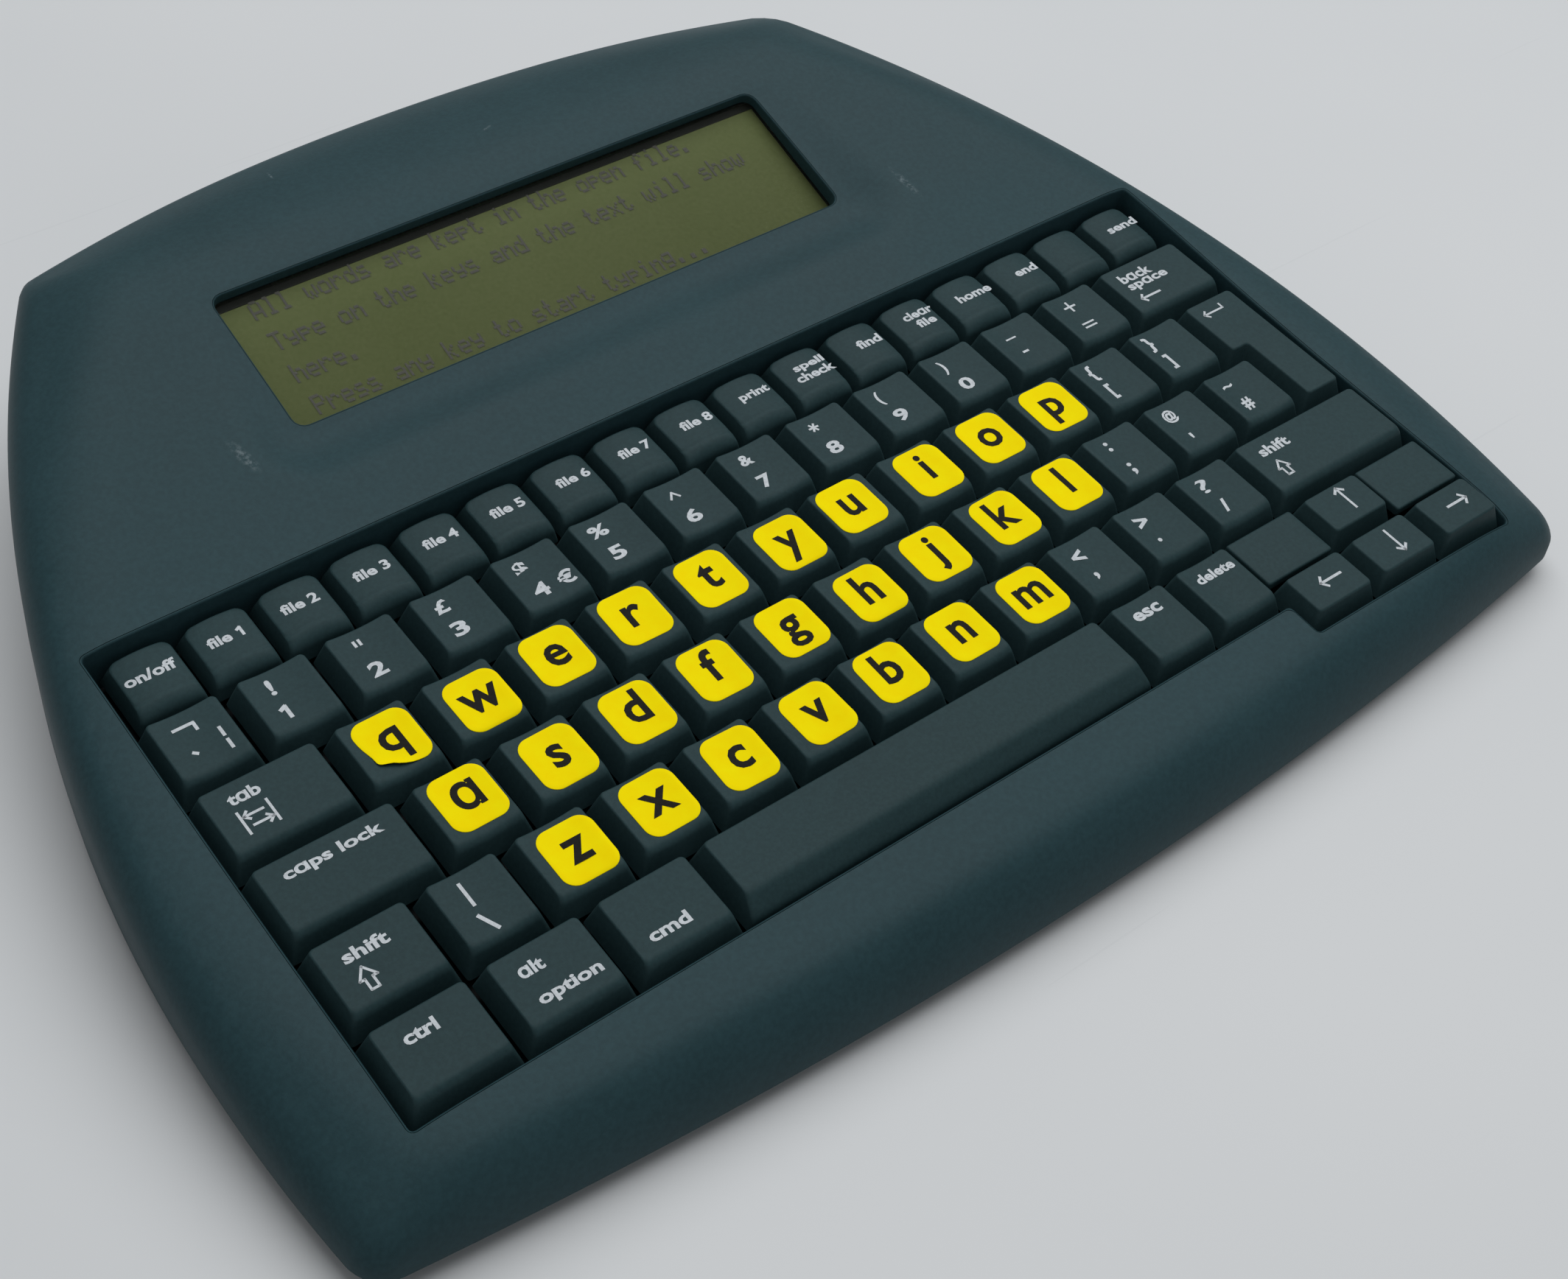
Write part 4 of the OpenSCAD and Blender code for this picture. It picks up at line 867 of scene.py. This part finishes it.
groups = {
    "number_keys": [("dish", unit_cell(i, 1)) for i in range(13)],
    "backspace_key": [("wide", unit_cell(13, 1, 1.5))],
    "punctuation_keys": [("dish", unit_cell(left, row)) for left, row in
                         ((11.5, 0), (12.5, 0), (10.75, -1), (11.75, -1), (12.75, -1),
                          (1.25, -2), (9.25, -2), (10.25, -2), (11.25, -2))],
    "modifier_keys": [("wide", unit_cell(0, 0, 1.5)), ("wide", unit_cell(0, -1, 1.75))]
    + [("wide", unit_cell(left, -3, 1.25)) for left in (0, 1.25, 2.5)]
    + [("dish", unit_cell(left, -3)) for left in (9.25, 10.25)],
    "left_shift_key": [("wide", unit_cell(0, -2, 1.25))],
    "right_shift_key": [("wide", unit_cell(12.25, -2, 2.25))],
    "function_keys": [("crown", ((i - 8.5) * FUNC_PITCH, (i - 7.5) * FUNC_PITCH,
                                 FUNC_FRONT, FUNC_FRONT + FUNC_DEPTH)) for i in range(17)],
    "arrow_keys": [("flat", cluster_cell(*at)) for at in ((1, 0), (0, 1), (1, 1), (2, 1))],
}
LETTERS = "qwertyuiopasdfghjklzxcvbnm"
for row, left, letters in ((0, 1.5, LETTERS[:10]), (1, 1.75, LETTERS[10:19]),
                           (2, 2.25, LETTERS[19:])):
    for i, letter in enumerate(letters):
        groups["key_" + letter] = [("dish", unit_cell(left + i, -row))]

for name, cells in groups.items():
    build = Build()
    for kind, c in cells:
        add_key(build, kind, c)
    make_cap(name, build)

space = unit_cell(3.75, -3, 5.5)
build = Build()
add_key(build, "bar", space, None, [((space[0] + space[1]) / 2 + s * 1.9 * U,
                                     (space[2] + space[3]) / 2) for s in (-1, 0, 1)])
make_cap("space_bar", build)

# The return key's two cells: the tall one on the right and the wide one at the back
stem_cell = (*unit_cell(13.75, -1, 0.75)[:3], 0.5 * U)
wide_cell = unit_cell(13.5, 0)
build = Build()
add_key(build, "flat", stem_cell, (stem_cell, wide_cell))
make_cap("enter_key", build)

# Words and signs
VIEW_AT = (-0.2366, -0.2670, 0.3372)
VIEW_ALONG = (0.439, 0.5368, -0.7200)
VIEW_UP = (0.406, 0.5969, 0.6927)
eye = world_to_keys(np.array([VIEW_AT]) * 1000)[0]

all_cells = [(kind, c, name) for name, cells in groups.items() for kind, c in cells]
all_cells += [("bar", space, "space_bar"), ("flat", wide_cell, "enter_key")]


def cell_at(x, y):
    return next((kind, c, name) for kind, c, name in all_cells
                if c[0] <= x <= c[1] and c[2] <= y <= c[3])


def on_top(points, lift, kind, c):
    """Points of the keys' top plane, moved along the line of sight onto the key's surface."""
    mid = (c[0] + c[1]) / 2
    out = []
    for x, y in points:
        px, py = x, y
        for _ in range(3):
            z = RISE - top_drop(kind, px - mid, py, c) - lip_drop(kind, py, c)
            s = (z - eye[2]) / (RISE - eye[2])
            px, py = eye[0] + (x - eye[0]) * s, eye[1] + (y - eye[1]) * s
        out.append((px, py, z + lift))
    return np.array(out)


glyph_cache = {}


def glyphs(text, bold):
    """Flat letters as points and faces, one unit of font size."""
    if (text, bold) not in glyph_cache:
        curve = bpy.data.curves.new("letters", "FONT")
        curve.body = text.replace("a", "ɑ")
        curve.offset = bold
        curve.resolution_u = 3
        obj = bpy.data.objects.new("letters", curve)
        bpy.context.scene.collection.objects.link(obj)
        bpy.context.view_layer.update()
        mesh = bpy.data.meshes.new_from_object(
            obj.evaluated_get(bpy.context.evaluated_depsgraph_get()))
        points = np.array([tuple(v.co)[:2] for v in mesh.vertices]).reshape(-1, 2)
        glyph_cache[text, bold] = points, [tuple(p.vertices) for p in mesh.polygons]
        bpy.data.objects.remove(obj)
        bpy.data.curves.remove(curve)
        bpy.data.meshes.remove(mesh)
    return glyph_cache[text, bold]


def up_faces(points, faces):
    """The faces, each turned to face up."""
    out = []
    for f in faces:
        a, b, c = (points[i] for i in f[:3])
        area = (b[0] - a[0]) * (c[1] - a[1]) - (b[1] - a[1]) * (c[0] - a[0])
        out.append(f if area > 0 else f[::-1])
    return out


ink = {}
INK_LIFT = 0.05


def print_flat(points, faces, x, y):
    kind, c, name = cell_at(x, y)
    build = ink.setdefault(name, Build())
    build.add(keys_to_world(on_top(points, INK_LIFT, kind, c)), up_faces(points, faces))


def legend(text, x, y, w, h, bold=0.034):
    """The text, its drawn box centred at x, y, w wide and h high."""
    points, faces = glyphs(text, bold)
    low, high = points.min(0), points.max(0)
    print_flat((points - (low + high) / 2) / (high - low) * (w, h) + (x, y), faces, x, y)


def stroke(x, y, width, *paths):
    """Lines as bars of one width, round x, y. A path is x, y, x, y and so on."""
    for path in paths:
        corners = np.array(path).reshape(-1, 2)
        for a, b in zip(corners + (x, y), corners[1:] + (x, y)):
            length = np.linalg.norm(b - a)
            d = (b - a) / length * width
            n = np.array([-d[1], d[0]]) / 2
            e = d * 0.35
            count = max(1, int(length / 1.5))
            steps = [a - e + (b - a + 2 * e) * k / count for k in range(count + 1)]
            m = count + 1
            print_flat(np.array([s - n for s in steps] + [s + n for s in steps]),
                       [(k, k + 1, m + k + 1, m + k) for k in range(count)], x, y)


def arrow(x, y, length, angle, head=2.7, width=0.62):
    back = length / 2 - head * 0.42
    tail, tip, left, right = spun(np.array(
        [(-length / 2, 0), (length / 2, 0), (back, head / 2), (back, -head / 2)]),
        math.radians(angle))
    stroke(x, y, width, (*tail, *tip), (*left, *tip), (*right, *tip))


def shift_arrow(x, y, w, h, width=0.5):
    half, neck = w / 2 - width / 2, w * 0.2
    top, low, shoulder = h / 2 - width / 2, -h / 2 + width / 2, -h * 0.02
    stroke(x, y, width, (0, top, half, shoulder, neck, shoulder, neck, low, -neck, low,
                         -neck, shoulder, -half, shoulder, 0, top))


LEGENDS = [
    ("on/off", -128.9, 37.75, 10.8, 2.7), ("file", -114.1, 37.9, 5, 2.55),
    *((f"file {i + 2}", x, 37.9, 8.1 if i == 2 else 8.2, 2.55)
      for i, x in enumerate((-96.5, -80.2, -64, -47.8, -31.4, -15.4, 0.9))),
    ("print", 17.1, 38, 7.8, 2.9), ("spell", 33.3, 39.15, 8.3, 2.8),
    ("check", 33, 36.4, 10.4, 2.5), ("find", 49.8, 38, 6.6, 2.55),
    ("clear", 65.6, 39.5, 8.4, 2.45), ("file", 65.7, 36.4, 5.2, 2.45),
    ("home", 81.6, 37.9, 9.8, 2.55), ("end", 98, 37.9, 6.4, 2.5),
    ("send", 129.7, 37.9, 9, 2.5), ("!", -111.8, 22.9, 1.15, 4), ("2", -92.3, 16.3, 3.4, 3.6),
    ("£", -73.7, 22.8, 3.1, 3.4), ("3", -73.5, 16.4, 3.5, 3.6), ("$", -54.9, 22.7, 3, 3.9),
    ("4", -54.4, 16.3, 3.5, 3.6), ("€", -48.3, 16.5, 3.9, 3.6), ("%", -35.7, 23, 4.3, 3.2),
    ("5", -35.5, 16.4, 3.4, 3.6), ("6", -16.2, 16.4, 3.5, 3.6), ("&", 2.8, 23.2, 3.2, 3),
    ("7", 2.9, 16.4, 3.2, 3.6), ("8", 21.9, 16.4, 3.5, 3.6), ("(", 39.8, 22.6, 1.35, 4.3),
    ("9", 40.9, 16.4, 3.5, 3.6), (")", 58.7, 22.6, 1.35, 4.3), ("0", 60.1, 16.4, 3.6, 3.6),
    ("back", 119.8, 23.4, 9.6, 2.9), ("space", 121.2, 20.1, 12.2, 2.9),
    ("tab", -128.3, 4.4, 6.5, 2.7), ("[", 87, -2.4, 1.4, 4.8), ("{", 86.8, 3.9, 1.9, 5),
    ("]", 105.7, -2.4, 1.4, 4.8), ("}", 105.4, 3.9, 1.9, 5),
    ("caps lock", -121.2, -14.9, 20.4, 3.2), (":", 73.6, -14.7, 1.1, 2.9),
    (";", 73.8, -22.2, 1.2, 3.6), ("@", 92.5, -15.1, 3.6, 3.9), ("'", 92.5, -21.8, 0.7, 1.6),
    ("~", 111, -15.1, 2.9, 1), ("#", 111.2, -21.3, 2.9, 3.6),
    ("shift", -127.1, -34.5, 9.2, 2.8), ("<", 45.2, -34.5, 3.1, 3.2),
    (",", 45.2, -40.5, 1.1, 1.9), (">", 64, -34.5, 3.1, 3.2), (".", 63.8, -40.3, 1, 1),
    ("?", 83.4, -34.2, 2.9, 3.9, 0.01), ("/", 83.4, -40.5, 2, 3.5),
    ("shift", 106, -33.7, 9, 2.8), ("ctrl", -128.1, -53.4, 6.7, 2.8),
    ("alt", -105.5, -53.4, 5.1, 2.8), ("option", -101.4, -59.9, 13.2, 3.2),
    ("cmd", -80.2, -59.8, 8.9, 2.7), ("esc", 47, -53.2, 7.4, 2.3),
    ("delete", 67.2, -52.9, 10.5, 2.5),
]
for entry in LEGENDS:
    legend(*entry)
# The two ones, not sign, grave, broken bar, underline, minus, plus, equals, bar and backslash
stroke(-109.5, 37.9, 0.62, (0.2, -1, 0.2, 0.95, -0.5, 0.55))
stroke(-112.1, 16.4, 0.85, (0.3, -1.35, 0.3, 1.35, -0.75, 0.85))
stroke(-129.9, 22.7, 0.7, (-2.1, 0.7, 2, 0.7, 2, -1))
stroke(-130.9, 16.9, 0.7, (-0.3, 0.3, 0.3, -0.2))
stroke(-124.4, 17.3, 0.7, (0, 2.6, 0, 0.6), (0, -0.6, 0, -2.6))
stroke(78.7, 22, 0.45, (-1.3, 0, 1.3, 0))
stroke(78.9, 17.2, 0.6, (-0.65, 0, 0.65, 0))
stroke(98.1, 22.9, 0.55, (-1.5, 0, 1.5, 0), (0, -1.5, 0, 1.5))
stroke(98.2, 16.3, 0.5, (-1.6, 0.6, 1.6, 0.6), (-1.6, -0.6, 1.6, -0.6))
stroke(-106.5, -35.1, 0.7, (0, 2.5, 0, -2.5))
stroke(-106.3, -41.8, 0.8, (-0.9, 1.9, 0.9, -1.9))
# Tab's two arrows, backspace, return, double quote, circumflex and asterisk
stroke(-128.4, -1.2, 0.55, (-3, 2.6, -3, -2.6), (3, 2.6, 3, -2.6),
       (-2.4, 1.2, 1.6, 1.2), (-1.4, 2.1, -2.4, 1.2), (-1.4, 0.3, -2.4, 1.2),
       (2.4, -1.2, -1.6, -1.2), (1.4, -0.3, 2.4, -1.2), (1.4, -2.1, 2.4, -1.2))
arrow(118.1, 16.2, 5.8, 180, 2.2, 0.6)
stroke(126.9, 4.9, 0.5, (-3, -0.5, 3, -0.5, 3, 0.9),
       (-2, 0.5, -3, -0.5), (-2, -1.5, -3, -0.5))
stroke(-92.4, 23.4, 0.62, (-0.55, 0.75, -0.55, -0.45), (0.55, 0.75, 0.55, -0.45))
stroke(-16.4, 22.9, 0.5, (-1.1, -0.7, 0, 0.9, 1.1, -0.7))
stroke(21.6, 23.2, 0.5, (-1.1, 0, 1.1, 0), (-0.55, -0.95, 0.55, 0.95),
       (-0.55, 0.95, 0.55, -0.95))
shift_arrow(-129.7, -39.9, 4.0, 5.3)
shift_arrow(103.4, -39.4, 3.9, 4.9)
arrow(108.2, -53.1, 6.2, 90)
arrow(87.4, -67.2, 6.1, 180)
arrow(107.9, -67.2, 6.1, -90)
arrow(128.8, -67.0, 6.0, 0)

# Stickers with their letters: each one's place, and its turn in degrees
STICKERS = [
    (-99.3, 0.5, 0), (-79.8, -0.5, 0.6), (-61.5, 0.85, -0.4), (-42.6, 1, -1), (-23.8, 0.8, 0.5),
    (-3.8, 0, 0.6), (13.8, 1.2, 0.8), (34.7, 0.6, 0.4), (53, 0.9, 0.2), (71.8, 0.85, -0.6),
    (-94.6, -17.85, 0.3), (-75.2, -19, 0.7), (-56.5, -18.5, -0.3), (-37.7, -18.3, -0.8),
    (-17.9, -17.9, 0.4), (1.5, -19.2, 0.6), (20.1, -18.15, -0.4), (39.6, -18.3, 1.6),
    (57.9, -18.1, 0.2), (-84.4, -38, -0.3), (-65.6, -37.5, 0.4), (-46.6, -37.5, -1.6),
    (-27.1, -37.15, 1.8), (-8.4, -37.1, -0.2), (10.65, -36.8, 0.8), (29.8, -37.2, -0.2),
]
STICKER_W, STICKER_D, STICKER_R, STICKER_T = 12.2, 13.1, 3.0, 0.14
X_HEIGHT, LETTER_BOLD, LETTER_UP = 5.25, 0.022, 0.1
x_points = glyphs("x", LETTER_BOLD)[0]
x_scale = X_HEIGHT / np.ptp(x_points[:, 1])
base_line = x_points[:, 1].min() * x_scale + X_HEIGHT / 2
w, d = STICKER_W / 2, STICKER_D / 2

for letter, (sx, sy, angle) in zip(LETTERS, STICKERS):
    name, turn, loose = "key_" + letter, math.radians(angle), letter == "q"
    kind, c = groups[name][0]
    ring = rounded(rectangle(-w, -d, w, d), [STICKER_R] * 4, 8, 1.2)[0]
    if loose:
        # Its lower left part has come loose and is pushed in and up
        pull = np.exp(-((ring[:, 0] + 4.5) / 3.4) ** 2) * (ring[:, 1] < 0)
        ring[:, 1] += pull * 1.9 * np.clip(-ring[:, 1] / d, 0, 1)
        ring[:, 0] += 0.9 * np.exp(-((ring[:, 1] + 2.5) / 3.0) ** 2) * (ring[:, 0] < -3)
    ring = spun(ring, turn)
    rings = []
    for share, lift in ((1.0, 0.02), (1.0, STICKER_T * 0.7), *(
            (share, STICKER_T) for share in (0.985, 0.86, 0.68, 0.48, 0.25))):
        placed = on_top(ring * share + (sx, sy), lift, kind, c)
        if loose and share > 0.8:
            corner = np.exp(-(((ring[:, 0] + 3.5) / 4.0) ** 2 + ((ring[:, 1] + 6.0) / 2.6) ** 2))
            placed[:, 2] += 0.8 * corner * (share - 0.8) / 0.2
        rings.append(keys_to_world(placed))
    build = Build()
    build.loft(rings, "fan")
    make_object("sticker_" + letter, build, name, sticker_mat)
    points, faces = glyphs(letter, LETTER_BOLD)
    shape = points * x_scale
    shape -= ((shape[:, 0].min() + shape[:, 0].max()) / 2, base_line)
    shape = spun(shape, turn) + (sx, sy + LETTER_UP)
    build = Build()
    build.add(keys_to_world(on_top(shape, STICKER_T + INK_LIFT, kind, c)),
              up_faces(shape, faces))
    make_object("letter_" + letter, build, name, letter_mat, smooth=False)

for name, build in ink.items():
    make_object("legend_" + name, build, name, legend_mat, smooth=False)

# The message in dots: each letter's five columns as two hexadecimal digits
DOT_FONT = {
    "a": "2054545478", "d": "384444487F", "e": "3854545418", "f": "087E090102",
    "g": "0C5252523E", "h": "7F08040478", "i": "00447D4000", "k": "7F10284400",
    "l": "00417F4000", "n": "7C08040478", "o": "3844444438", "p": "7C14141408",
    "r": "7C08040408", "s": "4854545420", "t": "043F444020", "w": "3C4030403C",
    "x": "4428102844", "y": "0C5050503C", "A": "7E1111117E", "P": "7F09090906",
    "T": "01017F0101", ".": "0060600000", " ": "0000000000",
}
MESSAGE = ["All words are kept in the open file.",
           "Type on the keys and the text will show",
           "here.",
           "Press any key to start typing..."]
TEXT_LEFT, TEXT_TOP = -65.5, 17.7
CHAR_PITCH, LINE_PITCH, DOT, DOT_RISE = 3.283, 8.77, 0.547, 0.69
PANEL_TOP = -WINDOW_DEPTH - WINDOW_T


def add_message(name, shift, lift, alpha):
    build = Build()
    z = PANEL_TOP + lift
    w, h = DOT / 2, DOT_RISE / 2
    for line, text in enumerate(MESSAGE):
        for i, ch in enumerate(text):
            for col, bits in enumerate(bytes.fromhex(DOT_FONT[ch])):
                for row in range(7):
                    if bits >> row & 1:
                        x = TEXT_LEFT + i * CHAR_PITCH + col * DOT + shift
                        y = TEXT_TOP - line * LINE_PITCH - row * DOT_RISE - shift
                        dot = at_height(rectangle(x - w, y - h, x + w, y + h), z)
                        build.add(window_to_world(dot), [(0, 1, 2, 3)])
    make_object(name, build, "case", dots_material(name.replace("message", "dots"), alpha),
                smooth=False)


add_message("display_message", 0.0, 0.12, 0.74)
add_message("display_message_shadow", 0.22, 0.05, 0.22)

# The two flat covers beside the up arrow
COVER_TOP, COVER_BOTTOM, COVER_R = -0.6, -2.6, 0.45
build = Build()
for cell in (cluster_cell(0, 0), cluster_cell(2, 0)):
    rings, counts = [], None
    for inset, z in ((0.0, COVER_BOTTOM), (0.0, COVER_TOP - COVER_R),
                     (COVER_R * 0.13, COVER_TOP - COVER_R * 0.5),
                     (COVER_R * 0.5, COVER_TOP - COVER_R * 0.13), (COVER_R, COVER_TOP),
                     (1.6, COVER_TOP)):
        d = GAP / 2 + inset
        poly = rectangle(cell[0] + d, cell[2] + d, cell[1] - d, cell[3] - d)
        ring, counts = rounded(poly, [0.6 + inset * 0.2] * 4, 4, 4.0, counts)
        rings.append(keys_to_world(at_height(ring, z)))
    build.loft(rings, "face")
blanks = make_object("cover_blanks", build, "case", key_mat)
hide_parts("key_blanks")

# Table and light
TABLE_HALF = 3.0
table_mesh = bpy.data.meshes.new("table_top")
table_mesh.from_pydata([(x, y, 0) for x, y in rectangle(
    -TABLE_HALF, -TABLE_HALF, TABLE_HALF, TABLE_HALF)], [], [(0, 1, 2, 3)])
table_obj = bpy.data.objects.new("table_top", table_mesh)
bpy.context.scene.collection.objects.link(table_obj)
look = Look("table_paint", (0.66, 0.67, 0.68), 0.5)
paint = look.ramp(look.noise(3.0, 3, 0.5), (0.64, 0.65, 0.662), (0.68, 0.685, 0.693))
hair = look.noise(1.2, 2, 0.5, look.place((3, 260, 1), (0, 0, 0.9)))
scratch = look.remap(hair, 0.715, 0.725, 0.0, 0.07)
look.put("Base Color", look.mix(scratch, paint, (0.35, 0.36, 0.38)))
table_mesh.materials.append(look.mat)

world = bpy.data.worlds.new("studio")
bpy.context.scene.world = world
world.use_nodes = True
background = world.node_tree.nodes["Background"]
background.inputs["Color"].default_value = (0.95, 0.98, 1.0, 1)
background.inputs["Strength"].default_value = 0.27

lamp = bpy.data.lights.new("window_light", "AREA")
lamp.shape = "DISK"
lamp.size = 2.4
lamp.energy = 29.5
lamp.color = (0.97, 0.99, 1.0)
lamp_obj = bpy.data.objects.new("window_light", lamp)
lamp_obj.location = (0.58, 0.36, 1.65)
lamp_obj.rotation_euler = (-lamp_obj.location).to_track_quat("-Z", "Y").to_euler()
bpy.context.scene.collection.objects.link(lamp_obj)

# Camera, in pixels of the photograph
IMAGE_W, FOCAL, MIDDLE_X, SENSOR = 2128, 2995.7, 846, 36
camera_data = bpy.data.cameras.new("camera")
camera = bpy.data.objects.new("camera", camera_data)
bpy.context.scene.collection.objects.link(camera)
along = Vector(VIEW_ALONG).normalized()
right = along.cross(Vector(VIEW_UP)).normalized()
turned = Matrix((right, right.cross(along), -along)).transposed().to_4x4()
camera.matrix_world = Matrix.Translation(VIEW_AT) @ turned
camera_data.sensor_width = SENSOR
camera_data.lens = FOCAL / IMAGE_W * SENSOR
camera_data.shift_x = (IMAGE_W / 2 - MIDDLE_X) / IMAGE_W
camera_data.clip_start = 0.02
bpy.context.scene.camera = camera
bpy.context.scene.view_settings.view_transform = "Standard"
